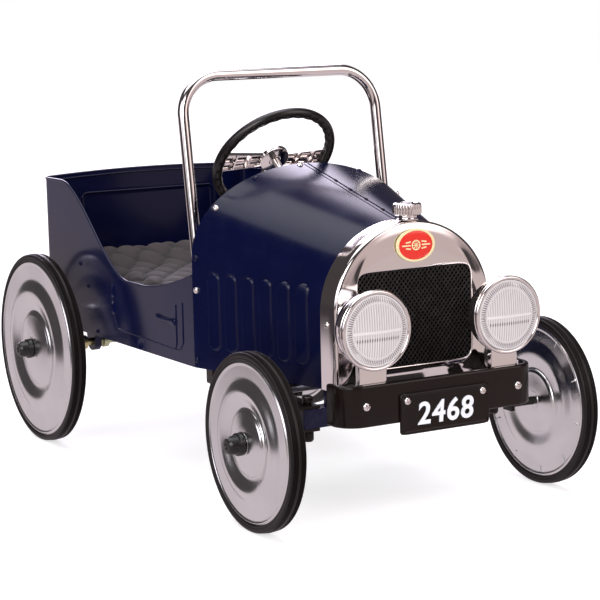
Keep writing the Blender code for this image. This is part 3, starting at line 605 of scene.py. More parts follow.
def hub_cap(centre, out, half):
    """A moulded cap: flange, fillet, tapering barrel and round top with a dimple."""
    base = half + 0.0076
    profile = rounded_profile([(0, base + 0.0168), (0.0030, base + 0.0170), (0.0040, base + 0.0185),
                               (0.0082, base + 0.0180), (0.0100, base + 0.0150), (0.0109, base + 0.0062),
                               (0.0129, base + 0.0056), (0.0130, base + 0.0004), (0, base)], 0.0004, 4)
    return turned(profile, centre, (out, 0, 0), 64)


def make_wheels():
    for end in ("front", "rear"):
        for side, out in SIDES:
            place = f"{end}_{side}"
            low, high = span("tyre_" + place)
            centre, half = (low + high) / 2, (high[0] - low[0]) / 2
            radius = (high[2] - low[2]) / 2
            disc_low, disc_high = span("wheel_disc_" + place)
            bore = (disc_high[2] - disc_low[2]) / 2
            body = f"front_wheel_{side}" if end == "front" else {
                "left": "rear_wheel_left", "right": "rear_axle"}[side]
            steel = wheel_steel(place, (0, centre[1] + AXLE_Y, centre[2]))
            piece("pressed_disc_" + place, wheel_disc(centre, out, bore, half), body, steel,
                  ["wheel_disc_" + place], 30)
            piece("ribbed_tyre_" + place, tyre(centre, out, radius, bore, half), body, TYRE,
                  ["tyre_" + place], 42)
            piece("axle_cap_" + place, hub_cap(centre, out, half), body, PLASTIC, ["hub_cap_" + place],
                  50)


# ---------------------------------------------------------------- rear body
TUB_HALF, SEAM_Y, TUB_END, TUB_CORNER, SKIRT_Z = 0.160, 0.2135, 0.658, 0.012, 0.150


def side_top(y):
    """Height of the side: low beside the seat, rising to the bonnet and swept up to the back."""
    ahead = np.clip((0.350 - y) / 0.1365, 0, None)
    back = smooth((y - 0.395) / 0.205)
    return 0.234 + 0.028 * ahead ** 1.6 + 0.117 * back


def side_pressing(y, z):
    """How far the side is pressed out: two hinges and a bolt dimple."""
    out = 0.0 * y * z
    for height in (0.217, 0.195):
        hinge = np.maximum(np.abs(y - 0.4405) / 0.0035, np.abs(z - height) / 0.0065)
        out = np.maximum(out, 0.0020 * smooth((1.25 - hinge) / 0.4))
    dimple = np.hypot(y - 0.362, z - 0.1565)
    return out - 0.0014 * smooth((0.0085 - dimple) / 0.0035)


def bead_lines():
    """The pressed lines of the door and, inside the back, of its panel."""
    lines = []
    for side in (1, -1):
        x = side * (TUB_HALF + 0.0001)
        door = bent([(x, 0.4405, 0.2285), (x, 0.4405, 0.188), (x, 0.4290, 0.1690), (x, 0.2650, 0.1645),
                     (x, 0.2600, 0.1720), (x, 0.2600, 0.2210)], 0.004, 7)
        front = bent([(x, 0.2420, 0.2255), (x, 0.2420, 0.1760), (x, 0.2520, 0.1655), (x, 0.2640, 0.1645)],
                     0.006, 7)
        for path in (door, front):
            lines.append(carried(ring(0.0010, 12), path, (1, 0, 0)))
    y = TUB_END - SHEET - 0.0002
    panel = bent([(0, y, 0.3255), (0.1040, y, 0.3255), (0.1040, y, 0.1820), (-0.1040, y, 0.1820),
                  (-0.1040, y, 0.3255), (0, y, 0.3255)], 0.010, 8)
    lines.append(carried(ring(0.0015, 12), panel, (0, 1, 0)))
    return join(*lines)


def back_pressing(x, z):
    """The back is pressed out inside a round-cornered panel."""
    away = np.maximum(np.abs(x) - 0.095, 0) ** 2 + np.maximum(np.abs(z - 0.2535) - 0.063, 0) ** 2
    return 0.0018 * smooth((0.0095 - np.sqrt(away)) / 0.0030)


def tub_path():
    """Columns round the body: one side, the corner, the back, and the same mirrored."""
    flank = np.concatenate([np.linspace(SEAM_Y, 0.236, 9)[:-1], np.linspace(0.236, 0.452, 145)[:-1],
                            np.linspace(0.452, TUB_END - TUB_CORNER, 68)])
    left = np.stack([np.full_like(flank, TUB_HALF), flank], 1)
    a = np.linspace(0, math.pi / 2, 9)[1:]
    turn = np.array([TUB_HALF, TUB_END]) - TUB_CORNER + TUB_CORNER * np.stack([np.cos(a), np.sin(a)], 1)
    back = np.linspace(TUB_HALF - TUB_CORNER, 0, 46)[1:]
    half = np.vstack([left, turn, np.stack([back, np.full_like(back, TUB_END)], 1)])
    return np.vstack([half, half[-2::-1] * [-1, 1]])


def make_tub():
    """The body's wall: each column of the path rises in even steps from the skirt to the side's height,
    and is pushed along its outward direction by the pressing there; a second skin lies a sheet inside.
    """
    path = tub_path()
    tangent = np.vstack([path[1] - path[0], path[2:] - path[:-2], path[-1] - path[-2]])
    outward = unit(np.stack([tangent[:, 1], -tangent[:, 0]], 1))
    x, y = path[:, :1], path[:, 1:]
    top = side_top(y) + np.where(y > TUB_END - TUB_CORNER, 0.005 * (1 - (x / TUB_HALF) ** 2), 0)
    share = np.linspace(0, 1, 74)[None]
    z = SKIRT_Z + (top - SKIRT_Z) * share
    flat = y < TUB_END - TUB_CORNER
    edge = smooth((top - z) / 0.006) * smooth((z - SKIRT_Z) / 0.004)
    pressed = np.where(flat, side_pressing(y, z), back_pressing(x, z)) * edge
    pressed = pressed * np.where(flat, smooth((TUB_END - TUB_CORNER - y) / 0.006), 1)

    def skin(depth):
        away = (pressed - depth)[..., None] * outward[:, None]
        base = np.stack([x + 0 * z, y + 0 * z], -1)
        return np.concatenate([base + away, z[..., None]], 2)

    piece("rear_body", slab(skin(0), skin(SHEET)), "chassis", NAVY, ["tub"], 45)
    piece("pressed_lines", bead_lines(), "chassis", NAVY, sharp=60)
    rim = np.concatenate([path - outward * SHEET * 0.3, top], 1)
    hem = carried(ring(0.0017, 12), rim, (0, 0.02, 1))
    inner_hem = carried(ring(0.0012, 8), rim + np.array([0, 0, -0.0052])
                        - np.concatenate([outward, 0 * top], 1) * 0.0022, (0, 0.02, 1))
    piece("rolled_hem", join(hem, inner_hem), "chassis", NAVY, sharp=60)
    lip = np.concatenate([path - outward * 0.0052, 0 * top + SKIRT_Z + 0.0012], 1)
    piece("skirt_lip", carried(squared(0.0050, 0.0009, 6, 24), lip, (0, 0, 1)), "chassis", NAVY,
          sharp=60)


# ---------------------------------------------------------------- bonnet
NOSE_Y, NOSE_HALF = 0.0058, 0.104
LOUVRES, LOUVRE_Y, LOUVRE_STEP, LOUVRE_HALF = 6, 0.036, 0.0281, 0.0085
LOUVRE_LOW, LOUVRE_HIGH, LOUVRE_PROUD = 0.175, 0.268, 0.0029


def section(y):
    """Half width, springing height and rise of the bonnet at a station."""
    share = (y - NOSE_Y) / (0.2130 - NOSE_Y)
    return NOSE_HALF + 0.056 * share, 0.2365 + 0.0485 * share, 0.0985 + 0.0045 * share


def crown(y):
    """Height of the bonnet's crest at a station: springing plus rise."""
    _, spring, rise = section(y)
    return spring + rise


def louvre_warp(y, z):
    """Draws the grid in to each louvre's round ends, and gives the place across it from -1 to 1.

    The half width at a height is that of a slot with half-round ends.
    """
    index = np.clip(np.round((y - LOUVRE_Y) / LOUVRE_STEP), 0, LOUVRES - 1)
    centre = LOUVRE_Y + LOUVRE_STEP * index
    away = y - centre
    inside = np.abs(away) <= LOUVRE_STEP / 2 + 1e-9
    half_height = (LOUVRE_HIGH - LOUVRE_LOW) / 2
    over = np.abs(z - (LOUVRE_LOW + LOUVRE_HIGH) / 2) - (half_height - LOUVRE_HALF)
    wide = LOUVRE_HALF * np.sqrt(np.clip(1 - np.clip(over / LOUVRE_HALF, 0, 1) ** 2, 0.0004, 1))
    beyond = wide + (np.abs(away) - LOUVRE_HALF) * (LOUVRE_STEP / 2 - wide) / (LOUVRE_STEP / 2 - LOUVRE_HALF)
    drawn = np.where(np.abs(away) <= LOUVRE_HALF, np.abs(away) * wide / LOUVRE_HALF, beyond)
    ends = smooth((half_height + 0.012 - np.abs(z - (LOUVRE_LOW + LOUVRE_HIGH) / 2)) / 0.012)
    moved = np.sign(away) * (np.abs(away) + (drawn - np.abs(away)) * ends)
    return np.where(inside, centre + moved, y), np.where(inside, away / LOUVRE_HALF, 9.0)


def louvre_lift(y, z, across):
    """A low plateau with a slot's outline: smooth(distance in / 1.5 mm), higher at its rear edge."""
    centre = LOUVRE_Y + LOUVRE_STEP * np.clip(np.round((y - LOUVRE_Y) / LOUVRE_STEP), 0, LOUVRES - 1)
    over = np.abs(z - (LOUVRE_LOW + LOUVRE_HIGH) / 2) - (LOUVRE_HIGH - LOUVRE_LOW) / 2 + LOUVRE_HALF
    within = LOUVRE_HALF - np.hypot(y - centre, np.clip(over, 0, None))
    rise = 0.62 + 0.38 * np.clip(across, -1, 1)
    shaded_groove = np.exp(-((within + 0.0006) / 0.0005) ** 2) * 0.0005
    return LOUVRE_PROUD * smooth(within / 0.0012) * rise - shaded_groove * (np.abs(across) < 2)


def make_bonnet():
    """Upright flanks with louvres, then the arch x = half cos a, z = spring + rise sin a between them."""
    edge = np.array([1.0, 0.97, 0.94, 0.91, 0.88, 0.85])
    within = np.concatenate([[-1.65, -1.40, -1.18, -1.12, -1.07, -1.03], -edge, np.linspace(-0.7, 0.7, 9),
                             edge[::-1], [1.03, 1.07, 1.12, 1.18, 1.40]])
    stations = [np.linspace(NOSE_Y, LOUVRE_Y - LOUVRE_STEP / 2, 7)[:-1]]
    stations += [LOUVRE_Y + LOUVRE_STEP * k + LOUVRE_HALF * within for k in range(LOUVRES)]
    last = LOUVRE_Y + LOUVRE_STEP * (LOUVRES - 0.5)
    stations.append(np.linspace(last, 0.2130, 9))
    y = np.concatenate(stations)[:, None]
    half, spring, rise = section(y)
    split = LOUVRE_HIGH + 0.004
    z = np.concatenate([np.linspace(SKIRT_Z, 0.172, 9)[:-1], np.linspace(0.172, 0.186, 19)[:-1],
                        np.linspace(0.186, 0.256, 18)[:-1], np.linspace(0.256, split, 21)])[None]
    warped, across = louvre_warp(y + 0 * z, z + 0 * y)
    lift = louvre_lift(warped, z + 0 * y, across)
    half_w, spring_w, rise_w = section(warped)
    up = np.clip((z - spring_w) / rise_w, 0, 1)
    flank_x = half_w * np.sqrt(1 - up ** 2)
    steep = unit(np.stack([np.sqrt(1 - up ** 2) / half_w, up / rise_w], -1))
    start = np.arcsin(np.clip((split - spring) / rise, 0, 1))
    a = start + (math.pi - 2 * start) * np.linspace(0, 1, 61)[None, 1:-1]
    over = np.stack([half * np.cos(a), y + 0 * a, spring + rise * np.sin(a)], -1)
    over_steep = unit(np.stack([np.cos(a) / half, np.sin(a) / rise], -1))

    def skin(depth):
        push = lift - depth
        left = np.stack([flank_x + steep[..., 0] * push, warped, z + steep[..., 1] * push], -1)
        right = left[:, ::-1] * np.array([-1, 1, 1])
        arch = over - depth * np.stack([over_steep[..., 0], 0 * a + 0 * y, over_steep[..., 1]], -1)
        return np.concatenate([left, arch, right], 1)

    piece("louvred_bonnet", slab(skin(0), skin(SHEET)), "chassis", NAVY, ["cowl"], 38)
    stations = np.linspace(NOSE_Y + 0.004, 0.2095, 40)
    line = np.stack([0 * stations, stations, crown(stations)], 1)
    strip = carried(squared(0.0034, 0.0003, 5, 24), line + [0.0, 0, 0.0002], (0, 0, 1))
    fold = carried(ring(0.0008, 12), line + [0.0026, 0, 0.0005], (0, 0, 1))
    places = np.array([0.179, 0.144, 0.111, 0.076, 0.040, 0.008])
    knuckles = []
    for place in places:
        run = np.linspace(place - 0.0022, place + 0.0022, 4)
        pin = np.stack([0 * run + 0.0026, run, crown(run) + 0.0006], 1)
        knuckles.append(carried(ring(0.0014, 16), pin, (0, 0, 1)))
    piece("crown_hinge", join(strip, fold), "chassis", NAVY, ["hinge_strip"], 50)
    piece("hinge_knuckles", join(*knuckles), "chassis", SATIN_BLACK, sharp=50)


def make_body_screws():
    bright, painted = [], []

    def on_arch(x, y):
        half, spring, rise = section(y)
        z = spring + rise * math.sqrt(1 - (x / half) ** 2)
        return (x, y, z), (x / half ** 2, -0.2, (z - spring) / rise ** 2)

    for _, s in SIDES:
        out = (s, 0, 0)
        bright.append(screw((s * 0.1592, 0.206, 0.245), out, 0.0040, 0.3 + s))
        for x, look in ((0.1295, bright), (0.0743, painted)):
            place, direction = on_arch(s * x, 0.206)
            direction = (direction[0], 0, direction[2])
            look.append(screw(place, direction, 0.0040 if look is bright else 0.0036, x * 40))
        painted.append(screw((s * 0.1590, 0.205, 0.284), out, 0.0036, 0.2))
        painted.append(screw((s * 0.1600, 0.208, 0.160), out, 0.0036, 0.9))
        for y, z in ((0.519, 0.215), (0.542, 0.243), (0.494, 0.157), (0.358, 0.156)):
            sunk = float(side_pressing(np.array(y), np.array(z)))
            painted.append(screw((s * (TUB_HALF + sunk), y, z), out, 0.0034, y * 9))
    bright.append(screw(on_arch(-0.010, 0.2075)[0], (-0.07, 0, 1), 0.0038, 0.4))
    piece("bright_body_screws", join(*bright), "chassis", CHROME)
    piece("painted_body_bolts", join(*painted), "chassis", NAVY)


HANDLE_Y, HANDLE_Z, HANDLE_HALF = 0.2878, 0.1990, 0.0275


def make_door_handles():
    """Bars with flared ends: half height 0.0027 + 0.0030 |s|^1.6 for s from -1 to 1 along the door."""
    s = np.linspace(-1, 1, 61)[:, None]
    t = np.linspace(0, TAU, 24, endpoint=False)[None]
    close = np.sqrt(np.clip(1 - np.abs(s) ** 16, 0, 1))
    tall = (0.0027 + 0.0030 * np.abs(s) ** 1.6) * close
    both = []
    for _, side in SIDES:
        x = side * (TUB_HALF + 0.0010 + 0.0022 * np.cos(t) * close)
        y = HANDLE_Y + HANDLE_HALF * s + 0 * t
        both.append(grid(np.stack([x, y, HANDLE_Z + tall * np.sin(t)], -1), wrap_v=True))
    piece("door_handles", join(*both), "chassis", NAVY)


# ---------------------------------------------------------------- radiator
SHELL_HALF, SHELL_SPRING, SHELL_RISE, GRILLE_HALF = 0.106, 0.2365, 0.100, 0.078
GRILLE_LOW, GRILLE_HIGH = 0.171, 0.284


def shell_ring(inset, y, count=288):
    """The radiator's outline drawn in by an inset: an arch on straight sides with a level foot."""
    half, base, rise = SHELL_HALF - inset, SKIRT_Z + inset, SHELL_RISE - inset
    a = np.linspace(0, math.pi, count // 2 + 1)
    arch = np.stack([half * np.cos(a), SHELL_SPRING + rise * np.sin(a)], 1)
    side = np.linspace(SHELL_SPRING, base, count // 8 + 1)[1:]
    foot = np.linspace(-half, half, count // 4)[1:-1]
    left = np.stack([0 * side - half, side], 1)
    floor = np.stack([foot, 0 * foot + base], 1)
    right = np.stack([0 * side + half, side[::-1]], 1)
    outline = np.vstack([arch, left, floor, right])
    return np.insert(outline, 1, y, axis=1)


def opening(outline, y, grow=0.0):
    """The grille opening, met by straight lines from the middle to the outline."""
    mid, tall = (GRILLE_LOW + GRILLE_HIGH) / 2, (GRILLE_HIGH - GRILLE_LOW) / 2
    u, v = outline[:, 0] / SHELL_HALF, (outline[:, 2] - mid) / 0.110
    reach = (np.abs(u) ** 12 + np.abs(v) ** 12) ** (1 / 12)
    x, z = (GRILLE_HALF + grow) * u / reach, mid + (tall + grow) * v / reach
    return np.stack([x, 0 * x + y, z], 1)


def make_radiator():
    """Rings of the outline from the back edge round the rolled front to the opening and back inside,
    with straight blends between the outline and the opening; and a turned cap with cosine knurls.
    """
    turn = np.linspace(0, math.pi / 2, 7)
    outline = [(0, 0.005), (0, 0.0046), (0, -0.012), (0, -0.0215)]
    outline += [(0.0045 * (1 - math.cos(a)), -0.0215 - 0.0050 * math.sin(a)) for a in turn[1:]]
    outline += [(0.0075, -0.0272), (0.0115, -0.0280)]
    rings = [shell_ring(inset, y) for inset, y in outline]
    rim = shell_ring(0.0115, 0.0)
    edge, back_rim, back_edge = opening(rim, 0.0), shell_ring(0.0130, -0.0262), opening(rim, -0.0282, 0.0010)
    for share in np.linspace(0, 1, 15)[1:]:
        blend = rim + (edge - rim) * share
        blend[:, 1] = -0.0280 - 0.0020 * math.sin(share * math.pi / 2)
        rings.append(blend)
    for grow, y in ((-0.0006, -0.0298), (-0.0010, -0.0292), (-0.0010, -0.0272), (0.0006, -0.0270)):
        rings.append(opening(rim, y, grow))
    rings += [back_edge + (back_rim - back_edge) * share for share in np.linspace(0, 1, 8)]
    rings += [shell_ring(0.0030, -0.0240), shell_ring(0.0016, -0.0205), shell_ring(0.0016, 0.0046),
              shell_ring(0.0014, 0.005)]
    shell = grid(np.stack(rings), wrap_u=True, wrap_v=True)
    piece("radiator_surround", shell, "chassis", CHROME, ["radiator_shell"], 50)
    screws = [screw(place, (np.sign(place[0]), 0, 0), 0.0042, 0.4)
              for place in both_sides([(SHELL_HALF, -0.009, 0.225)])]
    piece("surround_screws", join(*screws), "chassis", DULL_CHROME)
    make_grille()
    make_badge()
    teeth = 30

    def knurl(t, r, h):
        grip = smooth((h - 0.0066) / 0.0010) * smooth((0.0186 - h) / 0.0014) * (r > 0.0150)
        return r + grip * 0.00075 * np.cos(teeth * t), h

    top = SHELL_SPRING + SHELL_RISE + 0.0004
    low, high = span("filler_cap")
    profile = [(0, 0.0200), (0.0050, 0.0203), (0.0075, 0.0200), (0.0080, 0.0192), (0.0118, 0.0190),
               (0.0128, 0.0198), (0.0150, 0.0192), (0.0160, 0.0184), (0.0160, 0.0180), (0.0160, 0.0125),
               (0.0160, 0.0076), (0.0156, 0.0066), (0.0140, 0.0058), (0.0112, 0.0054), (0.0106, 0.0048),
               (0.0106, 0.0020), (0.0112, 0.0014), (0.0124, 0.0010), (0.0124, 0.0002), (0, 0.0)]
    cap = turned(profile, (0, (low[1] + high[1]) / 2, top), (0, 0, 1), 240, ripple=knurl)
    piece("knurled_cap", cap, "chassis", CHROME, ["filler_cap"], 45)


def make_grille():
    """Diamond mesh: two families of slanting wires, each clipped to the panel, one family laid in front of
    the other.
    """
    low, high = span("radiator_grille")
    pitch_x, pitch_z = 0.0058, 0.0070
    wires = []
    for slope in (1, -1):
        reach = int((high[0] - low[0]) / pitch_x + (high[2] - low[2]) / pitch_z) + 2
        n = np.arange(-reach, reach + 1)[:, None]
        steps = np.linspace(0, 1, 2)[None]
        gradient = slope * pitch_z / pitch_x
        offset = n * pitch_z + (low[2] + high[2]) / 2
        foot, head = (low[2] - offset) / gradient, (high[2] - offset) / gradient
        x_low = np.clip(np.minimum(foot, head), low[0], high[0])
        x_high = np.clip(np.maximum(foot, head), low[0], high[0])
        keep = (x_high - x_low)[:, 0] > 0.003
        x = (x_low + (x_high - x_low) * steps)[keep]
        z = (offset + gradient * x_low + gradient * (x_high - x_low) * steps)[keep]
        across = unit(np.array([gradient, -1.0]))
        front = low[1] - (0.0006 if slope > 0 else 0.0003)
        profile = np.array([(-0.0009, 0.0006), (-0.0008, 0.0), (0, -0.00025), (0.0008, 0.0),
                            (0.0009, 0.0006)])
        for start, end, zs, ze in zip(x[:, 0], x[:, 1], z[:, 0], z[:, 1]):
            path = np.array([[start, front, zs], [end, front, ze]])
            rows = path[:, None] + np.stack([profile[:, 0] * across[0], profile[:, 1],
                                             profile[:, 0] * across[1]], 1)[None]
            wires.append(grid(np.clip(rows, [low[0], -1, low[2]], [high[0], 1, high[2]]), wrap_v=True))
    # painted shade: the panel behind the wires is given the near-black of the hollow
    NODES["radiator_grille"].data.materials.clear()
    NODES["radiator_grille"].data.materials.append(HOLLOW_SHADE)
    piece("grille_mesh", join(*wires), "chassis", SATIN_BLACK, sharp=30)


def oval_disc(half_u, half_v, profile, centre, steps=96):
    """A dome on an oval: each (share, height) of the profile is a ring of that share of the oval."""
    t = np.linspace(0, TAU, steps, endpoint=False)[:, None]
    share = np.array([p[0] for p in profile])[None]
    height = np.array([p[1] for p in profile])[None] + 0 * t
    x, z = half_u * share * np.cos(t), half_v * share * np.sin(t)
    return grid(np.stack([centre[0] + x, centre[1] - height, centre[2] + z], -1), wrap_u=True)


def make_badge():
    """Two enamelled ovals, and a plain emblem of a spoked ring with three bars on each side."""
    low, high = span("badge")
    centre = np.array([0, high[1], (low[2] + high[2]) / 2])
    wide, tall = (high[0] - low[0]) / 2, (high[2] - low[2]) / 2
    border = oval_disc(wide, tall, [(0, 0.0009), (0.86, 0.0010), (0.875, 0.0020), (0.93, 0.0023),
                                    (0.985, 0.0019), (1.0, 0.0010), (1.0, 0.0), (0, 0)], centre)
    piece("badge_border", border, "chassis", CREAM, ["badge"], 50)
    field = oval_disc(wide, tall, [(0, 0.0021), (0.3, 0.00205), (0.6, 0.0019), (0.84, 0.0015),
                                   (0.872, 0.0012), (0.872, 0.0004), (0, 0.0004)], centre)
    piece("badge_field", field, "chassis", RED, sharp=50)
    marks = []
    t = np.linspace(0, TAU, 48, endpoint=False)
    wheel = centre + np.stack([0.0052 * np.cos(t), 0 * t - 0.0020, 0.0052 * np.sin(t)], 1)
    marks.append(carried(ring(0.0008, 10, 0.0005), wheel, (0, 1, 0), closed=True))
    for a in np.arange(4) * math.pi / 4:
        spoke = np.array([[math.cos(a), 0, math.sin(a)]]) * np.linspace(-0.0050, 0.0050, 5)[:, None]
        marks.append(carried(ring(0.0005, 8, 0.0004), centre + spoke + [0, -0.0020, 0], (0, 1, 0)))
    for s in (1, -1):
        for rise, start, length in ((0.0042, 0.0072, 0.0066), (0.0, 0.0076, 0.0112),
                                    (-0.0042, 0.0072, 0.0066)):
            run = np.linspace(0, 1, 9)
            bar = np.stack([s * (start + length * run), 0 * run - 0.0019, rise * (1 - 0.25 * run)], 1)
            marks.append(carried(ring(0.0009, 10, 0.0005), centre + bar, (0, 1, 0)))
    piece("badge_emblem", join(*marks), "chassis", CREAM, sharp=60)


# ---------------------------------------------------------------- lamps
def lens(centre, radius):
    """A crowned lens: radial prisms in the outer ring, upright flutes inside, a plain level bar, and a
    painted shade value for its grooves.
    """
    share = np.concatenate([np.linspace(0, 0.76, 40), np.linspace(0.765, 0.80, 4),
                            np.linspace(0.81, 0.955, 12), [0.965, 0.98, 1.0, 1.0]])[None]
    t = np.linspace(0, TAU, 540, endpoint=False)[:, None]
    x, z = radius * share * np.cos(t), radius * share * np.sin(t)
    height = 0.0040 * (1 - share ** 2) + 0.0004 + 0 * t
    prism = smooth((share - 0.80) / 0.02) * smooth((0.965 - share) / 0.02)
    height = height + 0.00055 * prism * np.cos(90 * t) + 0.0004 * prism
    inside = smooth((0.77 - share) / 0.02)
    bar = smooth((0.0020 - np.abs(z + 0.0010)) / 0.0010)
    height = height + inside * (1 - bar) * 0.00030 * np.cos(TAU * x / 0.0031)
    height = height + inside * bar * 0.0006
    height[:, -1] = -0.0022
    # painted shade: how dark the lens is tinted in its prism grooves, in its flute grooves (stronger in a low
    # level band) and in the ring between them
    flute_shade_band = smooth((0.0030 - np.abs(z + 0.0095)) / 0.003) * 0.5 + 0.30
    shaded_groove = prism * (0.5 - 0.5 * np.cos(90 * t)) * (0.75 + 0.25 * smooth((0.90 - share) / 0.03))
    shaded_groove = shaded_groove + inside * (1 - bar) * flute_shade_band * (1 - np.cos(TAU * x / 0.0031)) * 0.8
    shaded_groove = shaded_groove + 0.45 * smooth((0.010 - np.abs(share - 0.785)) / 0.008)
    front = np.stack([centre[0] + x, centre[1] - height, centre[2] + z], -1)
    back_height = 0.0026 * (1 - share ** 2) - 0.0014 - 0.00040 * inside * np.cos(TAU * z / 0.0062)
    back_height[:, -1] = -0.0022
    back = np.stack([centre[0] + x, centre[1] - back_height, centre[2] + z], -1)
    whole = grid(np.concatenate([front, back[:, -2::-1]], 1), wrap_u=True)
    return whole, np.concatenate([shaded_groove, 0 * shaded_groove[:, -2::-1]], 1).ravel()


def make_lens(side, centre, edge):
    """The lens with its painted groove shade kept as a value on its points, found again after doubles merge.
    """
    shape, shaded_groove = lens(centre, edge)
    obj = piece("fluted_lens_" + side, shape, "chassis", GLASS, ["headlamp_lens_" + side], 60)
    points = read(obj.data) - np.array([0, AXLE_Y, 0])
    from_keys = np.round(shape[0] * 200000).astype(np.int64)
    to_keys = np.round(points * 200000).astype(np.int64)
    scale = np.array([1, 2 ** 20, 2 ** 40])
    order = np.argsort(from_keys @ scale)
    found = np.clip(np.searchsorted((from_keys @ scale)[order], to_keys @ scale), 0, len(order) - 1)
    values = shaded_groove[order[found]]
    layer = obj.data.attributes.new("shaded_groove", "FLOAT", "POINT")
    layer.data.foreach_set("value", values.astype(np.float32))


def make_lamps():
    """Each lamp: a round cup and ring turned about its axis, lens, bulb, screws and a flared strap."""
    for side, _ in SIDES:
        low, high = span("headlamp_lens_" + side)
        centre = np.array([(low[0] + high[0]) / 2, high[1] - 0.0025, (low[2] + high[2]) / 2])
        edge = (high[2] - low[2]) / 2
        radius = edge + 0.0034
        forward = (0, -1, 0)
        a = np.linspace(0, math.pi / 2, 25)
        cup = np.stack([radius * np.cos(a), -0.008 - 0.036 * np.sin(a)], 1)
        bead = [(radius, -0.0034), (radius + 0.0009, -0.0042), (radius + 0.0009, -0.0056), (radius, -0.0064)]
        bowl = np.stack([(radius - SHEET) * np.cos(a), -0.008 - 0.0345 * np.sin(a)], 1)[::-1]
        cup[-1, 0], bowl[0, 0] = 0, 0
        profile = np.vstack([bead, cup, bowl, [(radius - SHEET, -0.0034)]])
        piece("lamp_cup_" + side, turned(profile, centre, forward, 120, closed=True), "chassis", CHROME,
              ["headlamp_cup_" + side], 50)
        t = np.linspace(0, TAU, 20, endpoint=False)
        section_ring = np.stack([radius - 0.0008 + 0.0022 * np.cos(t), -0.0006 + 0.0026 * np.sin(t)], 1)
        section_ring[:, 0] = np.clip(section_ring[:, 0], edge + 0.0003, radius + 0.0014)
        piece("lamp_ring_" + side, turned(section_ring, centre, forward, 144, closed=True), "chassis",
              CHROME, ["headlamp_rim_" + side], 60)
        make_lens(side, centre, edge)
        bulb = np.stack([0.0065 * np.cos(a), -0.012 + 0.0085 * np.sin(a)], 1)
        bulb = np.vstack([[(0, -0.0405), (0.0080, -0.0405), (0.0080, -0.034), (0.0050, -0.032),
                           (0.0050, -0.020)], bulb])
        bulb[-1, 0] = 0
        piece("bulb_" + side, turned(bulb, centre, forward, 48), "chassis", DULL_CHROME)
        screws = [screw(centre + [d * (edge - 0.0036), -0.0012, 0], forward, 0.0017, 0.4) for d in (1, -1)]
        piece("lens_screws_" + side, join(*screws), "chassis", DULL_CHROME)
        low, high = span("headlamp_foot_" + side)
        z = np.linspace(low[2], high[2] + 0.004, 24)
        wide = eased(z, [low[2], 0.150, 0.172, high[2] + 0.004], [0.0215, 0.0213, 0.0178, 0.0180])
        outline = squared(1.0, 1.0, 9, 56)
        foot_y = (low[1] + high[1]) / 2
        shape = np.stack([middle("headlamp_foot_" + side)[0] + outline[None, :, 0] * wide[:, None],
                          foot_y + 0.0050 * outline[None, :, 1] + 0 * z[:, None],
                          z[:, None] + 0 * outline[None, :, 1]], -1)
        piece("lamp_strap_" + side, grid(capped_rows(shape), wrap_v=True), "chassis", CHROME,
              ["headlamp_foot_" + side], 40)


# ---------------------------------------------------------------- bumper and plate
def make_bumper():
    """A channel profile carried round the bent path, and a plate of soft-cornered rings with a raised rim."""
    low, high = span("bumper")
    half, radius, front = 0.1035, 0.028, -0.085
    path = bent([(-half - radius, -0.048, 0), (-half - radius, front, 0), (half + radius, front, 0),
                 (half + radius, -0.048, 0)], radius, 20)
    path = np.vstack([np.linspace(path[0], path[1], 5)[:-1], path[1:21],
                      np.linspace(path[20], path[21], 24)[1:-1], path[21:-1],
                      np.linspace(path[-2], path[-1], 5)[1:]])
    tall = (high[2] - low[2]) / 2
    mid = (low[2] + high[2]) / 2
    a = np.linspace(0, math.pi / 2, 6)
    bend, depth = 0.0028, 0.0055
    top = np.stack([-bend + bend * np.cos(a), tall - bend + bend * np.sin(a)], 1)
    outer = np.vstack([[(-depth, tall)], top[::-1], [(0, 0)], top * [1, -1], [(-depth, -tall)]])
    bend_in = bend - 0.0012
    top = np.stack([-bend + bend_in * np.cos(a), tall - bend + bend_in * np.sin(a)], 1)
    inner = np.vstack([[(-depth, tall - 0.0012)], top[::-1], [(-0.0012, 0)], top * [1, -1],
                       [(-depth, -tall + 0.0012)]])
    side = np.cross(run_of(path), (0, 0, 1))

    def skin(profile):
        return path[:, None] + side[:, None] * profile[None, :, :1] + np.array([0, 0, 1]) * (
            profile[None, :, 1:] + mid)

    piece("channel_bumper", slab(skin(outer), skin(inner)), "chassis", BLACK, ["bumper"], 50)
    screws = [screw(p, (0, -1, 0), 0.0047, 0.7) for p in both_sides([(0.1025, front, 0.144)])]
    low, high = span("number_plate")
    screws += [screw(p, (0, -1, 0), 0.0042, 0.2) for p in both_sides([(0.051, low[1], 0.1447)])]
    piece("bumper_screws", join(*screws), "chassis", CHROME)
    wide, tall = (high[0] - low[0]) / 2, (high[2] - low[2]) / 2
    cz = (low[2] + high[2]) / 2
    share = squared(1, 1, 22, 96)
    rows = []
    for inset, y in ((0, high[1]), (0, low[1] + 0.0008), (0.0004, low[1] + 0.0002), (0.0010, low[1] - 0.0006),
                     (0.0016, low[1] - 0.0008), (0.0026, low[1] - 0.0006), (0.0032, low[1] + 0.0002),
                     (0.0040, low[1] + 0.0004)):
        rows.append(np.stack([share[:, 0] * (wide - inset), 0 * share[:, 0] + y,
                              cz + share[:, 1] * (tall - inset)], 1))
    rows.append(np.stack([0 * share[:, 0], 0 * share[:, 0] + low[1] + 0.0004, 0 * share[:, 0] + cz], 1))
    rows.insert(0, np.stack([0 * share[:, 0], 0 * share[:, 0] + high[1], 0 * share[:, 0] + cz], 1))
    piece("rimmed_plate", grid(np.stack(rows), wrap_v=True), "chassis", BLACK, ["number_plate"],
          40)
    make_numerals(low[1] + 0.0004, cz - 0.0010)


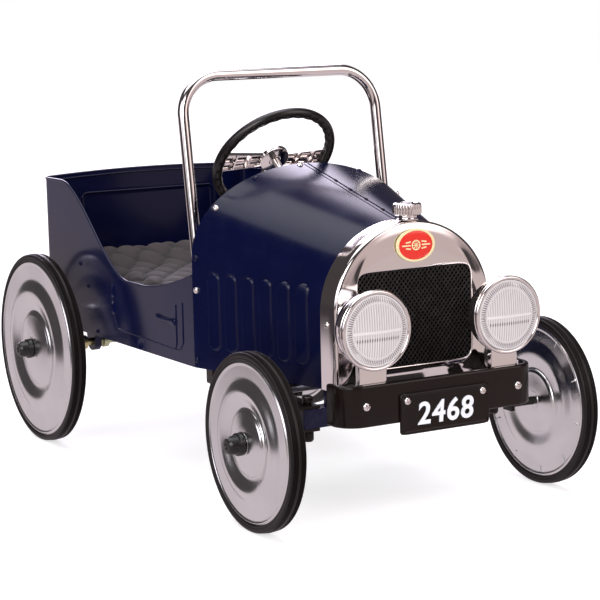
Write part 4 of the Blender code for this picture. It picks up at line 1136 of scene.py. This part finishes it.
def make_numerals(y, z):
    """Four raised numerals in the plain built-in face, thickened and slanted."""
    text = bpy.data.curves.new("plate_numerals", "FONT")
    text.body = "2468"
    text.size = 0.0350
    text.align_x, text.align_y = "CENTER", "CENTER"
    text.extrude, text.offset, text.shear, text.space_character = 0.0006, 0.0005, 0.08, 1.10
    text.bevel_depth = 0.0002
    maker = placed("numeral_maker", text)
    data = bpy.data.meshes.new_from_object(maker.evaluated_get(bpy.context.evaluated_depsgraph_get()))
    bpy.data.objects.remove(maker, do_unlink=True)
    flat = np.array([v.co for v in data.vertices])
    faces = [list(p.vertices) for p in data.polygons]
    bpy.data.meshes.remove(data)
    centre = (flat.min(0) + flat.max(0)) / 2
    flat = flat - centre
    upright = np.stack([flat[:, 0], y - flat[:, 2] - 0.0004 + AXLE_Y, z + flat[:, 1]], 1)
    made = sewn_mesh("plate_numerals", upright, faces)
    made.materials.append(WHITE)
    obj = placed("plate_numerals", made)
    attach(obj, "chassis")


# ---------------------------------------------------------------- windscreen
def make_screen():
    """A tube carried along a bent path that leans back by the rake, with a bolt pair at each foot."""
    top_y, top_z, rake, half = 0.2735, 0.4975, 0.145, 0.138

    def at(x, z):
        return (x, top_y - (top_z - z) * rake, z)

    path = bent([at(half, 0.212), at(half, top_z), at(-half, top_z), at(-half, 0.212)], 0.050, 28)
    legs = [np.linspace(path[0], path[1], 12)[:-1], path[1:-1], np.linspace(path[-2], path[-1], 12)[1:]]
    hoop = carried(ring(0.0069, 40), np.vstack(legs), (0, 1, rake))
    piece("screen_hoop", hoop, "chassis", CHROME, ["windscreen_frame"], 60)
    bolts = []
    for _, s in SIDES:
        for z in (0.240, 0.226):
            x, y, _ = at(s * half, z)
            bolts.append(screw((s * (half + 0.0066), y, z), (s, 0, 0), 0.0034, z * 50))
            inner = rounded_profile([(0, 0.0026), (0.0042, 0.0026), (0.0048, 0), (0, 0)], 0.0004, 4)
            bolts.append(turned(inner, (s * (half - 0.0066), y, z), (-s, 0, 0), 6))
            sleeve = turned([(0, 0), (0.0032, 0), (0.0032, 0.0146), (0, 0.0146)],
                            (s * (half + 0.0069), y, z), (s, 0, 0), 24)
            bolts.append(sleeve)
    piece("hoop_bolts", join(*bolts), "chassis", DULL_CHROME)


# ---------------------------------------------------------------- steering
TILT = math.radians(40)
HUB = np.array([0, 0.290, 0.389])
COLUMN = np.array([0, math.cos(TILT), math.sin(TILT)])
ACROSS = np.array([1.0, 0, 0])
DOWN = np.cross(COLUMN, ACROSS)


def on_wheel(u, v, w):
    """A place by its distances across, down and out along the column from the hub."""
    return HUB + np.asarray(u)[..., None] * ACROSS + np.asarray(v)[..., None] * DOWN \
        + np.asarray(w)[..., None] * COLUMN


def make_steering():
    """Rim: a ring of radius major with a rippled tube round it, hollowed beneath; spokes: flat bars whose
    undersides carry ribs; hub: a turned dome; shaft: a rod bent once to the drop arm.
    """
    major, thick = 0.0775, 0.0065
    a = np.linspace(0, TAU, 64, endpoint=False)[None]
    t = np.linspace(0, TAU, 288, endpoint=False)[:, None]
    grip = 0.00035 * np.cos(30 * t) * smooth((-np.cos(a) - 0.1) / 0.6)
    radius = thick - 0.0002 + grip
    r, h = radius * np.cos(a), radius * np.sin(a) * 1.05
    gutter = smooth((0.0036 - np.abs(r)) / 0.0008) * (np.sin(a) < 0)
    rib = smooth((np.abs(((t * 36 / TAU) % 1) - 0.5) - 0.46) / 0.02)
    h = h + gutter * (0.0034 - 0.0016 * rib)
    rim = grid(on_wheel((major + r) * np.cos(t), (major + r) * np.sin(t), h + 0 * t),
               wrap_u=True, wrap_v=True)
    piece("grip_rim", rim, "steering_wheel", PLASTIC, ["steering_rim"], 50)
    arms = []
    for turn in (0, math.pi / 2, math.pi):
        ribbed = abs(math.sin(turn)) < 0.5
        run = np.linspace(0.012, major - 0.0035, 61)[:, None]
        share = (run - 0.017) / (major - 0.017)
        wide = 0.0092 + 0.0052 * np.clip(share, 0, 1)
        side = np.linspace(-1, 1, 41)[None]
        cells = smooth((np.abs(((share * 3.0 + 0.04) % 1) - 0.5) - 0.415) / 0.03)
        rail = np.maximum(smooth((np.abs(side) - 0.86) / 0.05), smooth((0.055 - np.abs(side)) / 0.04))
        rib = np.maximum(cells + 0 * side, rail + 0 * share)
        top = 0.0028 - 0.0010 * side ** 4 + 0 * run
        under = 0.0014 - 0.0044 * rib if ribbed else 0 * rib - 0.0030
        u = run * math.cos(turn) - side * wide * math.sin(turn)
        v = run * math.sin(turn) + side * wide * math.cos(turn)
        arms.append(slab(on_wheel(u, v, top), on_wheel(u, v, under)))
    hub = turned(rounded_profile([(0, 0.0080), (0.0060, 0.0074), (0.0080, 0.0050), (0.0150, 0.0044),
                                  (0.0195, 0.0030), (0.0195, -0.0030), (0.0078, -0.0032), (0.0070, -0.0042),
                                  (0, -0.0042)], 0.0008, 5), HUB, COLUMN, 72)
    piece("spoked_hub", join(*arms, hub), "steering_wheel", CHROME, ["steering_spokes"], 40)
    length, arm = 0.3329, 0.057
    foot = HUB - COLUMN * length
    tip = foot + np.array([0, math.sin(TILT), -math.cos(TILT)]) * arm
    shaft = carried(ring(0.005, 28), bent([HUB - COLUMN * 0.0034, foot, tip], 0.010, 14), (1, 0, 0))
    piece("steering_shaft", shaft, "steering_wheel", DULL_CHROME, ["steering_column"],
          50)


# ---------------------------------------------------------------- drive
def make_drive():
    """The axle rod bent into two opposite cranks, its collars, and pedals as ribbed blocks set square to
    their arms.
    """
    end = span("rear_axle")[1][0]
    y, z = middle("wheel_disc_rear_left")[1:]
    crank, inner, outer = 0.030, 0.0455, 0.0645
    left = [(inner, 0), (inner, crank), (outer, crank), (outer, 0)]
    right = [(-x, -v) for x, v in reversed(left)]
    points = [(x, y + v, z) for x, v in [(-end, 0), *right, *left, (end, 0)]]
    axle = carried(ring(0.005, 24), bent(points, 0.0065, 9), (0, 0, 1))
    collars = []
    for x in (0.142, -0.142, 0.110, -0.110):
        collar = rounded_profile([(0.0048, 0.004), (0.0095, 0.004), (0.0095, -0.004), (0.0048, -0.004)],
                                 0.0006)
        collars.append(turned(collar, (x, y, z), (1, 0, 0), 40, closed=True))
    piece("crank_axle", join(axle, *collars), "rear_axle", ZINC, ["rear_axle"], 50)
    for side, s in SIDES:
        pivot = np.array([s * 0.0645, 0.165, 0.262])
        swing = s * math.asin(0.030 / 0.122)
        run = np.linspace(0, 1, 97)
        wide = s * (0.0032 + 0.0546 * run)
        tread = 0.90 + 0.10 * smooth((np.abs(((run * 9) % 1) - 0.5) - 0.12) / 0.08)
        ends = np.sqrt(np.clip(1 - (np.clip(np.abs(run - 0.5) - 0.47, 0, 1) / 0.032) ** 2, 0, 1)) * 0.1 + 0.9
        outline = squared(0.016, 0.010, 7, 56)
        forward = np.array([0, math.cos(swing), math.sin(swing)])
        upward = np.array([0, -math.sin(swing), math.cos(swing)])
        scale = (tread * ends)[:, None, None]
        rows = pivot + wide[:, None, None] * ACROSS - 0.140 * upward \
            + scale * (outline[None, :, :1] * forward + outline[None, :, 1:] * upward)
        block = grid(capped_rows(rows), wrap_v=True)
        piece("ribbed_pedal_" + side, block, "pedal_" + side, TYRE, ["pedal_" + side], 40)


# ---------------------------------------------------------------- plain steel parts
def softened(name, look, width=0.0006, sharp=30):
    """A copy of a CAD node, merged and thinned to its real edges, with those edges rolled over."""
    source = NODES[name]
    data = source.data.copy()
    work = bmesh.new()
    work.from_mesh(data)
    bmesh.ops.remove_doubles(work, verts=work.verts, dist=0.00002)
    bmesh.ops.dissolve_limit(work, angle_limit=math.radians(1.0), verts=work.verts, edges=work.edges)
    work.to_mesh(data)
    work.free()
    data.materials.clear()
    data.materials.append(look)
    data.shade_smooth()
    data.set_sharp_from_angle(angle=math.radians(sharp))
    obj = placed("finished_" + name, data)
    edge = obj.modifiers.new("rolled_edge", "BEVEL")
    edge.width = width
    edge.segments = 2
    edge.limit_method = "ANGLE"
    edge.angle_limit = math.radians(sharp)
    edge.use_clamp_overlap = True
    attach(obj, source["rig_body"])
    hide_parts(name)
    return obj


def make_plain_parts():
    parts = [(NAVY, "navy_paint", ["seat_pan", "column_crossmember", "dash_bracket", "front_beam"]),
             (STEEL, "bright_steel", ["tie_rod", "pedal_rod"])]
    for side, _ in SIDES:
        parts += [(NAVY, "navy_paint", ["chassis_rail_" + side, "rear_hanger_" + side]),
                  (BLACK, "black_paint", ["body_block_" + side, "bumper_bracket_" + side,
                                          "kingpin_" + side, "knuckle_" + side]),
                  (STEEL, "bright_steel", ["pedal_arm_" + side, "connecting_rod_" + side])]
    for look, slot, names in parts:
        for name in names:
            softened(name, look, 0.0003 if name == "seat_pan" else 0.0006)


# ---------------------------------------------------------------- cushion
def pillow_start(low, high):
    """A closed box with round edges: the unit sphere's directions pushed out to a soft-cornered box."""
    mid, half = (low + high) / 2, (high - low) / 2
    a = np.linspace(-math.pi / 2, math.pi / 2, 41)[:, None]
    t = np.linspace(0, TAU, 120, endpoint=False)[None]
    way = np.stack([np.cos(a) * np.cos(t), np.cos(a) * np.sin(t), np.sin(a) + 0 * t], -1)
    norm = (np.abs(way) ** 9).sum(-1, keepdims=True) ** (1 / 9)
    return grid(mid + half * way / norm, wrap_v=True)


def make_cushion():
    low, high = span("seat_cushion")
    inset = np.array([0.006, 0.006, 0.004])
    start, end = low + inset, high - inset
    obj = piece("quilted_cushion", pillow_start(start, end), "chassis", CLOTH, ["seat_cushion"])
    obj.parent = None
    remesh = obj.modifiers.new("even", "REMESH")
    remesh.mode, remesh.voxel_size = "VOXEL", 0.0050
    bpy.context.view_layer.objects.active = obj
    bpy.ops.object.modifier_apply(modifier="even")
    inflate(obj, 0.007)
    refine = obj.modifiers.new("finer", "SUBSURF")
    refine.levels = refine.render_levels = 1
    bpy.ops.object.modifier_apply(modifier="finer")
    quilt(obj, low, high)
    obj.data.shade_smooth()
    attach(obj, "chassis")
    return obj


def read(data):
    points = np.zeros(len(data.vertices) * 3)
    data.vertices.foreach_get("co", points)
    return points.reshape(-1, 3)


def inflate(obj, most):
    """Swells the pad as cloth under pressure, then limits how far any point went."""
    rest = read(obj.data)
    cloth = obj.modifiers.new("swell", "CLOTH")
    cloth.settings.use_pressure = True
    cloth.settings.uniform_pressure_force = 4.0
    cloth.settings.effector_weights.gravity = 0.0
    cloth.settings.quality = 5
    cloth.settings.mass = 0.3
    cloth.settings.tension_stiffness = 18
    cloth.settings.compression_stiffness = 18
    cloth.point_cache.frame_start, cloth.point_cache.frame_end = 1, 20
    for step in range(1, 21):
        bpy.context.scene.frame_set(step)
    graph = bpy.context.evaluated_depsgraph_get()
    swollen = read(obj.evaluated_get(graph).data)
    obj.modifiers.remove(cloth)
    bpy.context.scene.frame_set(1)
    move = swollen - rest
    far = np.linalg.norm(move, axis=1, keepdims=True)
    move = move * np.minimum(1, most / np.maximum(far, 1e-9))
    obj.data.vertices.foreach_set("co", (rest + move).astype(np.float32).ravel())
    obj.data.update()


PUFF_WIDE, PUFF_LONG, SEAM_DEPTH, REAR_LIFT = 0.046, 0.054, 0.0095, 0.0215


def quilt(obj, low, high):
    """Draws the seams in: depth * (1 - (|sin pi a| |sin pi b|)^0.34) over a slanting lattice (a, b)."""
    points = read(obj.data)
    normals = np.zeros(len(points) * 3)
    obj.data.vertices.foreach_get("normal", normals)
    normals = normals.reshape(-1, 3)
    x, y = points[:, 0], points[:, 1] - AXLE_Y - (low[1] + high[1]) / 2
    a, b = x / PUFF_WIDE + y / PUFF_LONG, x / PUFF_WIDE - y / PUFF_LONG
    puff = (np.abs(np.sin(math.pi * a)) * np.abs(np.sin(math.pi * b))) ** 0.34
    base = low[2] + 0.004
    tall = smooth((points[:, 2] - base) / 0.020)
    facing = smooth((normals[:, 2] + 0.35) / 0.7)
    depth = SEAM_DEPTH * (1 - puff) * tall * facing
    points = points - normals * depth[:, None]
    points[:, 2] += 0.0035 * (1 - ((x / 0.15) ** 2 + (y / 0.17) ** 2) / 2) * tall
    points[:, 2] += REAR_LIFT * smooth((y - 0.050) / 0.075) * tall
    points[:, 2] = np.maximum(points[:, 2], low[2] + 0.0003)
    obj.data.vertices.foreach_set("co", points.astype(np.float32).ravel())
    # painted shade: a value that is high in the creases between the puffs and darkens the cloth there
    layer = obj.data.attributes.new("seam_shade", "FLOAT", "POINT")
    layer.data.foreach_set("value", (smooth((0.72 - puff) / 0.45) * tall).astype(np.float32))
    obj.data.update()


# ---------------------------------------------------------------- studio
def make_floor():
    """A pale floor that shows a faint shadow; polished parts mirror it darker towards the back."""
    half = 9.0
    verts = np.array([[-half, -half, 0], [half, -half, 0], [half, half, 0], [-half, half, 0]])
    data = bpy.data.meshes.new("studio_floor")
    data.from_pydata(verts.tolist(), [], [(0, 1, 2, 3)])
    floor = placed("studio_floor", data)
    paper = bpy.data.materials.new("pale_floor")
    paper.use_nodes = True
    tree = paper.node_tree
    shader = tree.nodes["Principled BSDF"]
    shader.inputs["Base Color"].default_value = (0.62, 0.62, 0.62, 1)
    shader.inputs["Roughness"].default_value = 0.9
    shader.inputs["Specular IOR Level"].default_value = 0.0
    place = node(tree, "SeparateXYZ", [(0, node(tree, "TexCoord").outputs["Object"])])
    x, y = place.outputs["X"], place.outputs["Y"]
    ahead = ramp(tree, arithmetic(tree, "MULTIPLY", y, -1.0), *FLOOR_TURN)
    aslant = arithmetic(tree, "ADD", arithmetic(tree, "MULTIPLY", x, 2.0), y)
    aside = arithmetic(tree, "MULTIPLY", ramp(tree, aslant, -0.42, -0.70), ramp(tree, x, -0.62, -0.86))
    seen = node(tree, "Emission", [("Color", (1, 1, 1, 1)), ("Strength", 0.66)])
    both = node(tree, "AddShader", [(0, seen.outputs[0]), (1, shader.outputs[0])])
    tint = blended(tree, aside, FLOOR_BACK, FLOOR_DARK)
    tint = blended(tree, ahead, tint, FLOOR_FRONT)
    mirrored = node(tree, "Emission", [("Color", tint), ("Strength", 1.0)])
    path = node(tree, "LightPath")
    pick = node(tree, "MixShader", [("Fac", path.outputs["Is Glossy Ray"]), (1, both.outputs[0]),
                                    (2, mirrored.outputs[0])])
    tree.links.new(pick.outputs[0], tree.nodes["Material Output"].inputs["Surface"])
    data.materials.append(paper)


FLOOR_TURN, FLOOR_DARK = (0.3, 1.0), (0.05, 0.04, 0.045)
FLOOR_BACK, FLOOR_FRONT = (0.66, 0.57, 0.61), (0.62, 0.52, 0.51)
SKY = ((0.060, 0.052, 0.054), (
    ((0.28, 0.84, 0.43), 0.935, 0.985, (8.2, 7.5, 9.1)),
    ((0.50, -0.86, 0.06), 0.88, 0.97, (0.55, 0.44, 0.43)),
    ((0.55, -0.70, 0.52), 0.90, 0.98, (2.2, 1.95, 1.9)),
    ((-0.70, -0.60, 0.40), 0.90, 0.985, (2.6, 2.4, 2.4)),
    ((-0.98, -0.10, 0.35), 0.94, 0.985, (2.4, 2.3, 2.5)),
    ((0.0, 0.0, 1.0), 0.80, 0.97, (1.6, 1.6, 1.7))))


def make_sky():
    """White behind the car; reflections see a dim room with soft boxes round given directions."""
    world = bpy.data.worlds.new("studio_air")
    bpy.context.scene.world = world
    world.use_nodes = True
    tree = world.node_tree
    way = node(tree, "TexCoord").outputs["Generated"]
    base, boxes = SKY
    total = node(tree, "CombineXYZ", [("X", base[0]), ("Y", base[1]), ("Z", base[2])]).outputs[0]
    for direction, low, high, colour in boxes:
        aim = [float(v) for v in unit(np.array(direction))]
        near = node(tree, "VectorMath", [(0, way), (1, aim)], operation="DOT_PRODUCT").outputs["Value"]
        lit = ramp(tree, near, low, high)
        glow = node(tree, "VectorMath", [(0, list(colour)), ("Scale", lit)], operation="SCALE").outputs[0]
        total = node(tree, "VectorMath", [(0, total), (1, glow)], operation="ADD").outputs[0]
    white = node(tree, "Mix", data_type="RGBA")
    path = node(tree, "LightPath")
    tree.links.new(path.outputs["Is Camera Ray"], white.inputs["Factor"])
    sockets = [socket for socket in white.inputs if socket.type == "RGBA"]
    tree.links.new(total, sockets[0])
    sockets[1].default_value = (1.0, 1.0, 1.0, 1)
    outlet = [socket for socket in white.outputs if socket.type == "RGBA"][0]
    tree.links.new(outlet, tree.nodes["Background"].inputs["Color"])


def make_studio():
    make_floor()
    make_sky()

    def softbox(name, place, target, size, power, colour=(1, 1, 1)):
        lamp = bpy.data.lights.new(name, "AREA")
        lamp.shape, lamp.size, lamp.size_y = "RECTANGLE", size[0], size[1]
        lamp.energy, lamp.color = power, colour
        obj = bpy.data.objects.new(name, lamp)
        bpy.context.scene.collection.objects.link(obj)
        aim = unit(np.array(target, float) - np.array(place, float))
        side = unit(np.cross(aim, [0, 0, 1.0]) if abs(aim[2]) < 0.99 else np.array([1.0, 0, 0]))
        top = np.cross(side, aim)
        turn = np.eye(4)
        turn[:3, :3] = np.stack([side, top, -aim], 1)
        turn[:3, 3] = place
        obj.matrix_world = Matrix(turn.tolist())

    softbox("overhead_box", (-0.3, 0.3, 2.6), (0, 0, 0.2), (2.4, 2.4), 30)
    softbox("side_box", (-2.2, -2.4, 1.9), (0, 0.0, 0.25), (1.6, 1.6), 26)
    bpy.context.scene.view_settings.view_transform = "Standard"


def make_camera():
    """The camera looks along -back, with right across the view; all three are unit lengths."""
    turn, rise, roll = math.radians(-30.0974), math.radians(8.6786), math.radians(-1.3308)
    back = np.array([math.sin(turn) * math.cos(rise), -math.cos(turn) * math.cos(rise), math.sin(rise)])
    right = np.array([math.cos(turn), math.sin(turn), 0])
    up = np.cross(back, right)
    level, tall = right * math.cos(roll) + up * math.sin(roll), up * math.cos(roll) - right * math.sin(roll)
    data = bpy.data.cameras.new("studio_camera")
    data.lens, data.sensor_width, data.clip_start = 118.891, 36.0, 0.05
    camera = placed("studio_camera", data)
    matrix = np.eye(4)
    matrix[:3, :3] = np.stack([level, tall, back], 1)
    matrix[:3, 3] = (-1.2310, -1.8915 + AXLE_Y, 0.5895)
    camera.matrix_world = Matrix(matrix.tolist())
    bpy.context.scene.camera = camera


make_wheels()
make_tub()
make_bonnet()
make_body_screws()
make_door_handles()
make_radiator()
make_lamps()
make_bumper()
make_screen()
make_steering()
make_drive()
make_plain_parts()
make_cushion()
make_studio()
make_camera()
